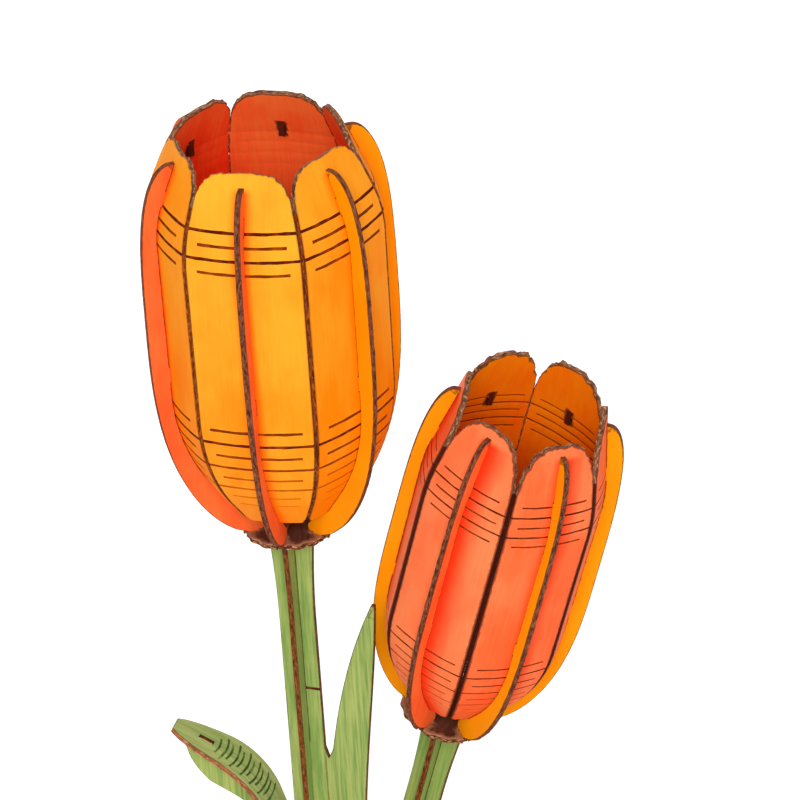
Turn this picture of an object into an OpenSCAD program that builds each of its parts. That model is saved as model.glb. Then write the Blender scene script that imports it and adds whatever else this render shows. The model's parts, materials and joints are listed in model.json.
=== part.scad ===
// Two wooden tulips on a stand, a take-apart puzzle of thin laser-cut sheet.
// Each petal is a bent sheet with a curved rib outside it, and the ribs stand in a disc.
// Millimetres, +Z up. The origin is on the underside of the stand, below the tall tulip.

/* [Sheet] */
// Thickness of the cut sheet
ply = 1.5; // [1.3:0.05:1.6]
// Play of a tab across its slot
tab_play = 0.15; // [0.1:0.05:0.3]
// Gap between two neighbouring petals
petal_gap = 0.4; // [0.3:0.05:0.8]

/* [Petals] */
// Radius of the petals at their lower edge
petal_foot_radius = 13.9; // [13.5:0.1:14.5]
// Height of the petals' lower edge above the middle of the sepal disc
petal_foot_height = 8.8; // [8.4:0.1:10]
// Length of sheet below the lowest score line
petal_foot_length = 10.3; // [9.5:0.1:11]
// Distance between two score lines of the lower bend
lower_pitch = 3.9; // [3.7:0.05:4]
// Length of the straight sheet between the two bends
petal_straight = 45.2; // [40:0.2:50]
// Distance between two score lines of the upper bend
upper_pitch = 3.6; // [3.3:0.05:3.8]
// Length of sheet above the highest score line
petal_tip_length = 15.6; // [14.5:0.1:16.5]
// Lean of the sheet at its lower edge, outwards from upright
petal_foot_lean = 34; // [32:0.5:35]
// Lean of the sheet at its upper edge, inwards from upright
petal_tip_lean = 22; // [19:0.5:23]
// Distance behind the axis of the line that a petal is bowed about
bow_distance = 26; // [22:1:40]
// Height of the wavy edge's waves
edge_wave = 0.45; // [0.2:0.05:0.5]

/* [Ribs] */
// Width of the ribs outside the petals' straight sheet
rib_depth = 4.9; // [4.2:0.1:5.6]
// Height of the ribs' widest place above the lower bend of the petals
rib_belly_rise = 20.6; // [16:0.2:25]
// Height of the petals' upper edge above the ribs' upper end
rib_top_inset = 4.1; // [3.6:0.1:5]
// Width of the ribs outside the petals at their upper end
rib_tip_depth = 1.3; // [1:0.1:2]
// Height of the tabs that go through the petals
tab_height = 4.2; // [3.5:0.1:4.6]
// Height of the petals' upper edge above the foot of the upper tab
upper_tab_inset = 15.3; // [14:0.1:16]
// Height of the lower tab's foot above the lower bend of the petals
lower_tab_rise = 5.6; // [3:0.2:25]
// Distance by which the tabs pass the petals' inner faces
tab_out = 0.5; // [0.2:0.1:1]

/* [Discs] */
// Radius of the tall tulip's sepal disc
disc_1_radius = 11.8; // [11.6:0.1:12.4]
// Radius of the short tulip's sepal disc
disc_2_radius = 12.2; // [11.8:0.1:12.4]
// Radius of the collar disc below a sepal disc
collar_radius = 7.6; // [7:0.1:8.5]
// Length of a rib's foot in its notch of the disc
notch_length = 3.6; // [3.2:0.1:4]
// Height of the waves of a disc's edge
disc_wave = 0.25; // [0.1:0.05:0.4]

/* [Stems] */
// Width of a stem
stem_width = 9.4; // [8.8:0.1:10]
// Width of a stem just below the collar disc
stem_head_width = 12; // [11.5:0.1:13]
// Length over which a stem widens below the collar disc
stem_flare = 26; // [20:1:30]
// Width of the tenon that holds the discs
tenon_width = 8; // [7.5:0.1:8.4]
// Height of the tenon above the sepal disc
tenon_out = 1.2; // [0.8:0.1:2]
// Height of the tall tulip's sepal disc above the stand's underside
disc_1_height = 131; // [122:1:140]
// Height of the short tulip's sepal disc above the stand's underside
disc_2_height = 66.7; // [65:0.1:70]
// Distance of the short tulip's disc to the right of the tall tulip's
disc_2_right = 36.3; // [35.5:0.1:40]
// Distance of the short tulip's disc behind the tall tulip's
disc_2_back = 8; // [6:0.5:14]
// Lean of the short tulip from upright
lean = 17.5; // [15.5:0.1:18.5]

/* [Flat leaf] */
// Distance of the flat leaf's tip from the middle of the stem
leaf_tip_reach = 20.3; // [19:0.1:22]
// Height of the flat leaf's tip above the stand's underside
leaf_tip_height = 109; // [104:0.5:112]
// Distance of the flat leaf's middle from the stem at its foot
leaf_foot_reach = 8; // [7.5:0.1:9]
// Height of the flat leaf's foot above the stand's underside
leaf_foot_height = 12; // [10:0.5:14]
// Largest half width of the flat leaf
leaf_half_width = 4.9; // [4.5:0.1:5.2]

/* [Bent leaf] */
// Distance of the bent leaf's lower edge from the middle of the stem
bent_foot_reach = 7; // [6.9:0.05:7.5]
// Height of the bent leaf's lower edge above the stand's underside
bent_foot_height = 31.7; // [29:0.1:33]
// Length of the bent leaf below its score lines
bent_foot_length = 15; // [13:0.5:17]
// Distance between two score lines of the bent leaf
bent_pitch = 2.4; // [2.1:0.05:2.6]
// Length of the bent leaf beyond its score lines
bent_tip_length = 14.7; // [13:0.1:17]
// Lean of the bent leaf at its lower edge
bent_foot_lean = 20; // [17:0.5:24]
// Lean of the bent leaf at its tip
bent_tip_lean = 64; // [60:0.5:68]
// Largest half width of the bent leaf
bent_half_width = 6.5; // [5.5:0.1:7]
// Depth of the rib below the bent leaf
keel_depth = 9.5; // [7:0.1:10]
// Length of the rib's tab along the bent leaf
leaf_tab_length = 3.4; // [2.8:0.1:4]

/* [Stand] */
// Length of the stand
stand_length = 112; // [100:1:130]
// Width of the stand
stand_width = 84; // [78:1:100]
// Thickness of each of the stand's two plates
plate = 3; // [2.5:0.1:4]
// Radius of the stand's corners
corner_radius = 30; // [15:1:35]
// Distance of the stand's middle to the right of the origin
stand_right = 22; // [18:0.5:26]
// Distance of the stand's middle behind the origin
stand_back = 4; // [0:0.5:8]

/* [Hidden] */
$fn = 120;
petal_count = 6;
lower_lines = 8;
upper_lines = 4;
bent_lines = 8;
// the short tulip's head against the tall one's
head_2_share = 0.82;
// the short tulip's petals are slimmer: extra length of their straight sheet and of the sheet
// above their highest score line, which leans less
head_2_extra = 5.3;
head_2_tip_extra = 8;
head_2_tip_lean = 12;
// turn of each head about its own stem, and of each stem
head_1_turn = -13;
head_2_turn = -6.2;
stem_1_turn = -19;
stem_2_turn = 3.8;
// compass direction in which the short tulip leans
lean_turn = -33;
// sheet's middle leans a little outwards between its two bends
straight_lean = 0.5;
// waves along a petal's upper edge and round a disc
petal_waves = 9;
disc_waves = 17;
points_per_wave = 4;
petal_edge_power = 2.8;
petal_corner = 3;
corner_steps = 4;
// corners of a petal's side lie at this part of the way between two score lines, and its round
// top starts at this part of the sheet above the highest one
side_share = 0.6;
shoulder_share = 0.05;
rib_steps = 18;
rib_low_power = 2.8;
rib_low_root = 1.5;
rib_top_power = 3.5;
rib_top_root = 2;
// shoulder of a rib on its disc, inside the notch
shoulder_length = 1.6;
shoulder_height = 1.8;
// part of the sheet's thickness that stands on a rib's ledge
ledge_share = 0.8;
// inset of a notch's outer end from the disc's edge
foot_inset = 0.5;
rib_step_in = 1.2;
// play at the end of a slot
end_play = 0.2;
tab_end_play = 0.4;
flare_steps = 8;
// the two planks of a stem hook into each other at this part of their height
lap_share = 0.5;
leaf_steps = 20;
leaf_power = 4.5;
leaf_tip_half_width = 0.5;
leaf_foot_share = 0.22;
bent_steps = 10;
bent_tip_half_width = 1.7;
bent_foot_half_width = 4.6;
keel_tip_depth = 5;
keel_foot_depth = 4.5;
keel_root_height = 14;
keel_tip_inset = 4.4;
leaf_tab_inset = 9;
leaf_tab_out = 0.6;
cut_past = 1;
far = 60;
sheet_reach = 40;
bow_half_angle = 24;

// ---- points of a bent sheet, walked from its lower edge upwards ----
function step_from(p, len, lean_out) = [p[0] + len * sin(lean_out), p[1] + len * cos(lean_out)];
function ratio(i, n, a, b) = a + (b - a) * i / n;

// a head is [size, extra length of the straight sheet, extra length of the tip, lean of the tip]
head_1 = [1, 0, 0, petal_tip_lean];
head_2 = [head_2_share, head_2_extra, head_2_tip_extra, head_2_tip_lean];

// outer face of a petal as points of [radius, height], for a head h of size s
function low_lean(i) = ratio(i, lower_lines, petal_foot_lean, straight_lean);
function top_lean(h, i) = ratio(i, upper_lines, straight_lean, -h[3]);
function low_point(s, i) = i == 0
    ? [petal_foot_radius * s, petal_foot_height * s]
    : step_from(low_point(s, i - 1),
        (i == 1 ? petal_foot_length : lower_pitch) * s, low_lean(i - 1));
function top_point(h, i) = i == 0
    ? step_from(low_point(h[0], lower_lines), petal_straight * h[0] + h[1], straight_lean)
    : step_from(top_point(h, i - 1),
        i == upper_lines ? petal_tip_length * h[0] + h[2] : upper_pitch * h[0], top_lean(h, i));
function petal_face(h) = concat(
    [for (i = [0 : lower_lines]) low_point(h[0], i)],
    [for (i = [0 : upper_lines]) top_point(h, i)]);

// the same line moved by t to its inner side, with mitred corners
function unit(v) = v / norm(v);
function left_of(v) = [-v[1], v[0]];
function edge_normal(f, i) = left_of(unit(f[i + 1] - f[i]));
function corner_shift(f, i, n) = i == 0 ? edge_normal(f, 0)
    : i == n ? edge_normal(f, n - 1)
    : let (m = unit(edge_normal(f, i - 1) + edge_normal(f, i)))
        m / (m * edge_normal(f, i));
function moved(f, t) = let (n = len(f) - 1)
    [for (i = [0 : n]) f[i] + corner_shift(f, i, n) * t];

// radius of a line of points at height z
function radius_at(f, z, i = 0) = (i >= len(f) - 2 || z <= f[i + 1][1])
    ? ratio(z - f[i][1], f[i + 1][1] - f[i][1], f[i][0], f[i + 1][0])
    : radius_at(f, z, i + 1);

// half width that keeps a bowed sheet of inner radius r inside its share of the ring
function half_width(s, r) =
    let (t = tan(360 / petal_count / 2), g = petal_gap / 2 / cos(360 / petal_count / 2),
        b = bow_distance * s, big = r + b, k = b - t * g)
    t * ((-k + sqrt(k * k - (1 + t * t) * (b * b + g * g - big * big))) / (1 + t * t)) - g;

function power(x, p) = pow(abs(x), p) * sign(x);

// point of a line of points between its points i and i + 1
function between(f, i, share) = f[i] + (f[i + 1] - f[i]) * share;

// outline of a petal as [across, height]: rounded feet, straight sides, wavy round top
function petal_side(s, inner) =
    let (z0 = inner[0][1] - ply, w0 = half_width(s, inner[0][0] - ply), c = petal_corner * s)
    concat(
        [for (i = [0 : corner_steps])
            [w0 - c + c * sin(90 * i / corner_steps), z0 + c - c * cos(90 * i / corner_steps)]],
        [for (i = [1 : lower_lines + 1]) let (q = between(inner, i - 1, side_share))
            [half_width(s, q[0]), q[1]]]);
function petal_top(s, inner) =
    let (a = between(inner, lower_lines + upper_lines, shoulder_share),
        top = inner[lower_lines + upper_lines + 1],
        w = half_width(s, a[0]), h = top[1] - a[1] - edge_wave,
        n = petal_waves * points_per_wave)
    [for (i = [0 : n]) let (
            t = 180 * i / n,
            wave = edge_wave * sin(t) * sin(360 * petal_waves * (i + 1 / 2) / n),
            z = a[1] + h * sin(t) + wave * sin(t),
            limit = half_width(s, radius_at(inner, min(z, top[1]))))
        [max(-limit, min(limit, w * power(cos(t), 2 / petal_edge_power))) + wave * cos(t) * sin(t),
            z]];
function petal_outline(s, inner) =
    let (side = petal_side(s, inner))
    concat(side, petal_top(s, inner),
        [for (i = [len(side) - 1 : -1 : 0]) [-side[i][0], side[i][1]]]);

module bowed_sheet(s, outer, inner) {
    b = bow_distance * s;
    n = len(outer) - 1;
    translate([-b, 0, 0])
        rotate([0, 0, -bow_half_angle])
            rotate_extrude(angle = 2 * bow_half_angle)
                polygon(concat(
                    [for (i = [0 : n]) [outer[i][0] + b, outer[i][1]]],
                    [for (i = [n : -1 : 0]) [inner[i][0] + b, inner[i][1]]]));
}

module slot_for_tab(z) {
    translate([0, -(ply + tab_play) / 2, z - tab_end_play / 2])
        cube([far, ply + tab_play, tab_height + tab_end_play]);
}

module petal_shape(h) {
    s = h[0];
    outer = petal_face(h);
    inner = moved(outer, ply);
    difference() {
        intersection() {
            bowed_sheet(s, outer, inner);
            rotate([90, 0, 90])
                linear_extrude(sheet_reach)
                    polygon(petal_outline(s, inner));
        }
        slot_for_tab(upper_tab(h));
        slot_for_tab(lower_tab(s));
    }
}

// places that a rib and the slots of its petal share
function lower_bend(s) = low_point(s, lower_lines);
function upper_edge(h) = top_point(h, upper_lines)[1];
function upper_tab(h) = upper_edge(h) - upper_tab_inset * h[0] - h[2];
function lower_tab(s) = lower_bend(s)[1] + lower_tab_rise * s;

// outer edge of a rib, two flattened arcs that meet at its widest place b
function low_arc(b, base_r, i) = let (z = b[1] * (1 - cos(90 * i / rib_steps)) + ply)
    [base_r + (b[0] - base_r)
        * pow(1 - pow(1 - (z - ply / 2) / b[1], rib_low_power), 1 / rib_low_root), z];
function top_arc(b, end, x, i) = let (t = sin(90 * i / rib_steps))
    [end[0] + (b[0] - end[0]) * pow(max(0, 1 - pow(t, rib_top_power)), 1 / rib_top_root),
        ratio(t, 1, b[1] + x, end[1])];

// a tab of the rib, from its root inside the rib to just past the petal's inner face
function tab_points(outer, inner, z) = [
    [radius_at(outer, z), z],
    [radius_at(inner, z + tab_height) - tab_out, z],
    [radius_at(inner, z + tab_height) - tab_out, z + tab_height],
    [radius_at(outer, z + tab_height), z + tab_height]];

// the corners of a line of points between two heights
function along(f, z_from, z_to) = [for (p = f) if (p[1] > z_from && p[1] < z_to) p];

function rib_outline(h, disc_r) =
    let (s = h[0], outer = petal_face(h), inner = moved(outer, ply),
        foot_out = disc_r - foot_inset, foot_in = disc_r - notch_length,
        ledge = outer[0] + (inner[0] - outer[0]) * ledge_share,
        z_top = upper_edge(h) - rib_top_inset * s, face_top = [radius_at(outer, z_top), z_top],
        z_up = upper_tab(h), z_low = lower_tab(s),
        belly = lower_bend(s) + [rib_depth, rib_belly_rise] * s)
    concat(
        // foot in the notch and the shoulder on the disc
        [[foot_out, ply / 2], [foot_out, -ply / 2], [foot_in, -ply / 2], [foot_in, ply / 2],
            [foot_in - shoulder_length, ply / 2],
            [foot_in - shoulder_length, ply / 2 + shoulder_height]],
        // the ledge that carries the petal
        [ledge - [rib_step_in, rib_step_in], ledge, outer[0]],
        // along the petal's outer face, with the two tabs
        along(outer, outer[0][1], z_low),
        tab_points(outer, inner, z_low),
        along(outer, z_low + tab_height, z_up),
        tab_points(outer, inner, z_up),
        along(outer, z_up + tab_height, z_top),
        [face_top],
        // back down the outer edge
        [for (i = [rib_steps : -1 : 0]) top_arc(belly, face_top + [rib_tip_depth * s, 0], h[1], i)],
        [for (i = [rib_steps - 1 : -1 : 1]) low_arc(belly, foot_out - foot_inset, i)]);

module rib_shape(h, disc_r) {
    rotate([90, 0, 0])
        linear_extrude(ply, center = true)
            polygon(rib_outline(h, disc_r));
}

module wavy_disc(r) {
    n = disc_waves * points_per_wave;
    linear_extrude(ply, center = true)
        polygon([for (i = [0 : n - 1]) let (
                a = 360 * i / n, q = r + disc_wave * sin(360 * disc_waves * (i + 1 / 2) / n))
            [q * cos(a), q * sin(a)]]);
}

module tenon_slots(turn) {
    for (a = [0, 90])
        rotate([0, 0, turn + a])
            cube([tenon_width + tab_play, ply + tab_play, 4 * ply], center = true);
}

module sepal_disc_shape(disc_r, head_turn, stem_turn) {
    difference() {
        wavy_disc(disc_r);
        tenon_slots(stem_turn);
        for (k = [0 : petal_count - 1])
            rotate([0, 0, head_turn - 90 + 360 * k / petal_count])
                translate([disc_r - notch_length - end_play, -(ply + tab_play) / 2, -ply])
                    cube([far, ply + tab_play, 2 * ply]);
    }
}

module collar_disc_shape(stem_turn) {
    translate([0, 0, -ply])
        difference() {
            cylinder(h = ply, r = collar_radius, center = true);
            tenon_slots(stem_turn);
        }
}

// places a shape of the tall or the short tulip, drawn about its sepal disc
module place_1() {
    translate([0, 0, disc_1_height])
        children();
}
module place_2() {
    translate([disc_2_right, disc_2_back, disc_2_height])
        rotate([0, 0, lean_turn])
            rotate([0, lean, 0])
                children();
}

module petal(head, k) {
    if (head == 1)
        place_1() rotate([0, 0, head_1_turn - 90 + 360 * k / petal_count]) petal_shape(head_1);
    else
        place_2() rotate([0, 0, head_2_turn - 90 + 360 * k / petal_count])
            petal_shape(head_2);
}
module rib(head, k) {
    if (head == 1)
        place_1() rotate([0, 0, head_1_turn - 90 + 360 * k / petal_count])
            rib_shape(head_1, disc_1_radius);
    else
        place_2() rotate([0, 0, head_2_turn - 90 + 360 * k / petal_count])
            rib_shape(head_2, disc_2_radius);
}

// ---- stems: outline of a plank as [across, height], heights measured from the disc ----
collar_under = -3 * ply / 2;
function flare_points(side) = [for (i = [0 : flare_steps])
    [side * (stem_width / 2 + (stem_head_width - stem_width) / 2
        * pow(i / flare_steps, 2)), collar_under - stem_flare * (1 - i / flare_steps)]];
function plank_outline(foot) = concat(
    [[-stem_width / 2, -foot], [stem_width / 2, -foot]],
    flare_points(1),
    [[tenon_width / 2, collar_under], [tenon_width / 2, ply / 2 + tenon_out],
        [-tenon_width / 2, ply / 2 + tenon_out], [-tenon_width / 2, collar_under]],
    [for (i = [flare_steps : -1 : 0]) flare_points(-1)[i]]);

module lap_below(level) {
    w = ply + tab_play;
    translate([-w / 2, level - far * 3])
        square([w, far * 3]);
}
module lap_above(level) {
    w = ply + tab_play;
    translate([-w / 2, level])
        square([w, far * 3]);
}
module upright(turn) {
    rotate([0, 0, turn])
        rotate([90, 0, 0])
            linear_extrude(ply, center = true)
                children();
}

// flat leaf, drawn from the stand's underside upwards
function leaf_middle(t) = [leaf_foot_reach + (leaf_tip_reach - leaf_foot_reach) * t * t,
    leaf_foot_height + (leaf_tip_height - leaf_foot_height) * t];
function leaf_half(t) = leaf_tip_half_width
    + (leaf_half_width - leaf_tip_half_width) * (1 - pow(t, leaf_power))
        * (t < leaf_foot_share
            ? sqrt(1 - pow(1 - t / leaf_foot_share, 2)) : 1);
module flat_leaf() {
    polygon(concat(
        [for (i = [0 : leaf_steps]) let (t = i / leaf_steps)
            leaf_middle(t) + [leaf_half(t), 0]],
        [for (i = [leaf_steps : -1 : 0]) let (t = i / leaf_steps)
            leaf_middle(t) - [leaf_half(t), 0]]));
}

// bent leaf's lower face and the rib that carries it, as [distance, height]
function bent_lean(i) = ratio(i, bent_lines, bent_foot_lean, bent_tip_lean);
function bent_point(i) = i == 0
    ? [bent_foot_reach, bent_foot_height]
    : step_from(bent_point(i - 1),
        i == 1 ? bent_foot_length : i == bent_lines + 1 ? bent_tip_length : bent_pitch,
        bent_lean(i - 1));
bent_face = [for (i = [0 : bent_lines + 1]) bent_point(i)];
bent_back = moved(bent_face, ply);
bent_tip = bent_face[bent_lines + 1];
tab_middle = bent_tip[0] - leaf_tab_inset;
function height_at(f, d, i = 0) = (i >= len(f) - 2 || d <= f[i + 1][0])
    ? ratio(d - f[i][0], f[i + 1][0] - f[i][0], f[i][1], f[i + 1][1])
    : height_at(f, d, i + 1);
function keel_low(i) = let (n = bent_lines + 1, q = i == n
        ? [bent_tip[0] - keel_tip_inset, height_at(bent_face, bent_tip[0] - keel_tip_inset)]
        : bent_face[i], a = bent_lean(min(i, bent_lines)),
        d = i == n ? keel_tip_depth
            : keel_foot_depth + (keel_depth - keel_foot_depth) * sin(90 * i / bent_lines))
    [q[0] + d * cos(a), q[1] - d * sin(a)];
keel_end = [bent_tip[0] - keel_tip_inset, height_at(bent_face, bent_tip[0] - keel_tip_inset)];

module keel() {
    ledge = bent_back[0] - bent_face[0];
    polygon(concat(
        [[0, keel_root_height], [0, bent_foot_height + ledge[1]],
            [stem_width / 2, bent_foot_height + ledge[1]],
            bent_back[0], bent_face[0]],
        [for (i = [1 : bent_lines]) bent_face[i]],
        [[tab_middle - leaf_tab_length / 2,
                height_at(bent_face, tab_middle - leaf_tab_length / 2)],
            [tab_middle - leaf_tab_length / 2,
                height_at(bent_back, tab_middle + leaf_tab_length / 2) + leaf_tab_out],
            [tab_middle + leaf_tab_length / 2,
                height_at(bent_back, tab_middle + leaf_tab_length / 2) + leaf_tab_out],
            [tab_middle + leaf_tab_length / 2,
                height_at(bent_face, tab_middle + leaf_tab_length / 2)],
            keel_end],
        [for (i = [bent_lines + 1 : -1 : 0]) keel_low(i)],
        [[stem_width / 2, keel_root_height]]));
}

// half width of the bent leaf, t from its foot to its tip
function bent_half(t) = t < 1 / 2
    ? ratio(sin(180 * t), 1, bent_foot_half_width, bent_half_width)
    : bent_tip_half_width + (bent_half_width - bent_tip_half_width)
        * sqrt(max(0, 1 - pow(2 * t - 1, 2)));

lap_1 = disc_1_height * lap_share;
stem_2_length = (disc_2_height - plate) / cos(lean);

module stand_outline() {
    c = corner_radius;
    translate([stand_right - stand_length / 2, stand_back - stand_width / 2]) {
        translate([c, 0])
            square([stand_length - 2 * c, stand_width]);
        translate([0, c])
            square([stand_length, stand_width - 2 * c]);
        for (x = [c, stand_length - c], y = [c, stand_width - c])
            translate([x, y])
                circle(r = c);
    }
}

module stem_slot() {
    for (a = [0, 90])
        rotate([0, 0, a])
            cube([stem_width + tab_play, ply + tab_play, far * 3], center = true);
}

module stand_bottom_plate() {
    color("burlywood")
        linear_extrude(plate)
            stand_outline();
}

module stand_top_plate() {
    color("wheat")
        difference() {
            translate([0, 0, plate])
                linear_extrude(plate)
                    stand_outline();
            rotate([0, 0, stem_1_turn])
                stem_slot();
            place_2()
                rotate([0, 0, stem_2_turn])
                    stem_slot();
        }
}

module stem_1_leaf_plank() {
    color("olivedrab")
        upright(stem_1_turn) {
            difference() {
                translate([0, disc_1_height])
                    polygon(plank_outline(disc_1_height - plate));
                lap_above(lap_1);
            }
            difference() {
                flat_leaf();
                translate([-far, -cut_past])
                    square([far, far * 3]);
            }
            mirror([1, 0])
                keel();
        }
}

module stem_1_cross_plank() {
    color("darkseagreen")
        upright(stem_1_turn + 90)
            difference() {
                translate([0, disc_1_height])
                    polygon(plank_outline(disc_1_height - plate));
                lap_below(lap_1);
            }
}

module bent_leaf() {
    q0 = bent_face[0];
    q1 = bent_tip;
    run = norm(q1 - q0);
    tilt = atan2(q1[0] - q0[0], q1[1] - q0[1]);
    color("yellowgreen")
        rotate([0, 0, stem_1_turn + 180])
            difference() {
                intersection() {
                    rotate([90, 0, 0])
                        linear_extrude(far, center = true)
                            polygon(concat(bent_face,
                                [for (i = [len(bent_back) - 1 : -1 : 0]) bent_back[i]]));
                    translate([q0[0], 0, q0[1]])
                        rotate([0, tilt, 0])
                            rotate([0, -90, 0])
                                linear_extrude(far, center = true)
                                    polygon(concat(
                                        [for (i = [0 : bent_steps])
                                            [ratio(i, bent_steps, -ply, run + ply),
                                                bent_half(i / bent_steps)]],
                                        [for (i = [bent_steps : -1 : 0])
                                            [ratio(i, bent_steps, -ply, run + ply),
                                                -bent_half(i / bent_steps)]]));
                }
                translate([tab_middle - (leaf_tab_length + tab_end_play) / 2,
                        -(ply + tab_play) / 2, bent_face[bent_lines][1]])
                    cube([leaf_tab_length + tab_end_play, ply + tab_play, far]);
            }
}

module stem_2_half(turn, above) {
    intersection() {
        place_2()
            upright(turn)
                difference() {
                    polygon(plank_outline(stem_2_length + stem_width));
                    if (above)
                        lap_above(-stem_2_length * lap_share);
                    else
                        lap_below(-stem_2_length * lap_share);
                }
        translate([-far, -far, plate])
            cube([far * 3, far * 3, far * 3]);
    }
}

module stem_2_plank() {
    color("olivedrab")
        stem_2_half(stem_2_turn, true);
}
module stem_2_cross_plank() {
    color("darkseagreen")
        stem_2_half(stem_2_turn + 90, false);
}

module collar_disc_1() {
    color("peru")
        place_1() collar_disc_shape(stem_1_turn);
}
module sepal_disc_1() {
    color("saddlebrown")
        place_1() sepal_disc_shape(disc_1_radius, head_1_turn, stem_1_turn);
}
module collar_disc_2() {
    color("peru")
        place_2() collar_disc_shape(stem_2_turn);
}
module sepal_disc_2() {
    color("saddlebrown")
        place_2() sepal_disc_shape(disc_2_radius, head_2_turn, stem_2_turn);
}

module petal_1(k) { color("orange") petal(1, k); }
module petal_2(k) { color("coral") petal(2, k); }
module rib_1(k) { color("tomato") rib(1, k); }
module rib_2(k) { color("gold") rib(2, k); }

stand_bottom_plate();
stand_top_plate();
stem_1_leaf_plank();
stem_1_cross_plank();
bent_leaf();
stem_2_plank();
stem_2_cross_plank();
collar_disc_1();
sepal_disc_1();
collar_disc_2();
sepal_disc_2();
petal_1(0);  // petal_1_1
petal_1(1);  // petal_1_2
petal_1(2);  // petal_1_3
petal_1(3);  // petal_1_4
petal_1(4);  // petal_1_5
petal_1(5);  // petal_1_6
rib_1(0);  // rib_1_1
rib_1(1);  // rib_1_2
rib_1(2);  // rib_1_3
rib_1(3);  // rib_1_4
rib_1(4);  // rib_1_5
rib_1(5);  // rib_1_6
petal_2(0);  // petal_2_1
petal_2(1);  // petal_2_2
petal_2(2);  // petal_2_3
petal_2(3);  // petal_2_4
petal_2(4);  // petal_2_5
petal_2(5);  // petal_2_6
rib_2(0);  // rib_2_1
rib_2(1);  // rib_2_2
rib_2(2);  // rib_2_3
rib_2(3);  // rib_2_4
rib_2(4);  // rib_2_5
rib_2(5);  // rib_2_6
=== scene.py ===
"""Two wooden tulips of thin laser-cut, painted sheet on an oval stand.

Every piece is cut from its own flat pattern, bent where its score lines are, and given
burnt edges, brushed paint and engraved lines. Sizes are in metres, +Z is up, and the
origin is on the underside of the stand, below the tall tulip.
"""

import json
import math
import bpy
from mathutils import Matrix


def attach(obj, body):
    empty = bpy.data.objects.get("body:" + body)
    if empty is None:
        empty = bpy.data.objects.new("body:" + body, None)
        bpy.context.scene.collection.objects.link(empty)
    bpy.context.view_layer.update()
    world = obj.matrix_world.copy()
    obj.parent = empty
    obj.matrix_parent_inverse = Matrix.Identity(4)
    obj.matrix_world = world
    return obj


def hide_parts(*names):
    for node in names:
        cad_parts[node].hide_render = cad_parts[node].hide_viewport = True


bl_info = {
    "name": "Wooden tulip puzzle",
    "version": (1, 0, 0),
    "blender": (4, 5, 0),
    "location": "View3D > Sidebar > Tulips",
    "description": "Builds two take-apart tulips of laser-cut painted sheet",
    "category": "Add Mesh",
}

from types import SimpleNamespace

import bmesh
import bpy
import numpy as np
from bpy.props import FloatProperty, FloatVectorProperty, PointerProperty
from bpy.types import Operator, Panel, PropertyGroup
from mathutils import Matrix, Vector
from mathutils.geometry import delaunay_2d_cdt

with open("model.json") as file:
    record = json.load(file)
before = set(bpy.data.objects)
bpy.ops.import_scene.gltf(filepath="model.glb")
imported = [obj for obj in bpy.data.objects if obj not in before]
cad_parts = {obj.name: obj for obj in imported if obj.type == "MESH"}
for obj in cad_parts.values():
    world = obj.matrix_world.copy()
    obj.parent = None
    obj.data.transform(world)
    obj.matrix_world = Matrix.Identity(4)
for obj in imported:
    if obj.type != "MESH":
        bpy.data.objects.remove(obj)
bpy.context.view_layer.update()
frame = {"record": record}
NODE_BODY = {
    node: body
    for body, nodes in frame["record"]["behaviour"]["bodies"].items()
    for node in nodes
}

MM = 0.001
PETALS = 6
LOWER_LINES = 8
UPPER_LINES = 4
BENT_LINES = 8
LEAF_STROKES = 12
PETAL_WAVES = 9
DISC_WAVES = 17
# points whose steps are shorter than this count as one
LEAST_STEP = 0.02 * MM
# how far a mitred corner may reach, as the cosine of half its turn
LEAST_SLANT = 0.6
# height of a row of the grid of triangles, against its spacing
ROW_SHARE = 0.866
# edge of a cut sheet: part of its thickness, and step outwards in millimetres
VENEERS = ((0.3, 0.0), (0.37, -0.035), (0.63, -0.035), (0.7, 0.0))
VENEER_ROUGHNESS = 0.02
SHARP_ANGLE = math.radians(24)
# a petal's score lines, counted from its foot: those out to the edge, and the faint ones
FULL_LINES = (3, 5, 7, 10, 12)
FAINT_LINES = 6
# points of an edge for each of its waves, and of a round edge
WAVE_POINTS = 14
DISC_WAVE_POINTS = 12
COLLAR_POINTS = 96
DISC_WAVE_SHIFT = math.pi / 68
DISC_UNEVENNESS = 0.06 * MM
# part of a petal's thickness from which a rib's tab is charred
CHARRED_FROM = 0.7
ROOM_LIGHT = 0.42
FLOOR_LIFT = 0.45
# room round each point of an edge, against the spacing of a face's points
EDGE_SHARE = 0.6
# where the uneven places of each kind of piece are counted from
SEEDS = {"rib": 40, "sepal_disc": 60, "collar_disc": 64, "stem": 71, "leaf": 81, "stand": 91,
         "edge": 11}
# step of the paint's pattern in metres from one piece to the next
PATTERN_STEP = 0.0371
# a point this near to an engraved line's middle, against its half width, is cut in
ON_MIDDLE = 0.1
# depth of the faintest engraved line, against the deepest
FAINT_DEPTH = 0.5
# degrees of the points of a petal's lower corner
CORNER_ANGLES = (0, 22, 45, 68, 90)
GREY = (0.5, 0.5, 0.5)
# material slots of a cut piece
FRONT, BACK, CUT, SCORED, BACK_SCORED, EXTRA = range(6)


# settings
def length(name, description, mm):
    return FloatProperty(
        name=name, description=description, default=mm * MM, unit="LENGTH", precision=5
    )


def angle(name, description, degrees):
    return FloatProperty(
        name=name, description=description, default=math.radians(degrees), unit="ROTATION"
    )


def share(name, description, default):
    return FloatProperty(name=name, description=description, default=default, min=0, max=6)


def linear(part):
    """Light that a written part of a colour stands for, both from 0 to 1."""
    return part / 12.92 if part <= 0.04045 else ((part + 0.055) / 1.055) ** 2.4


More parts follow.
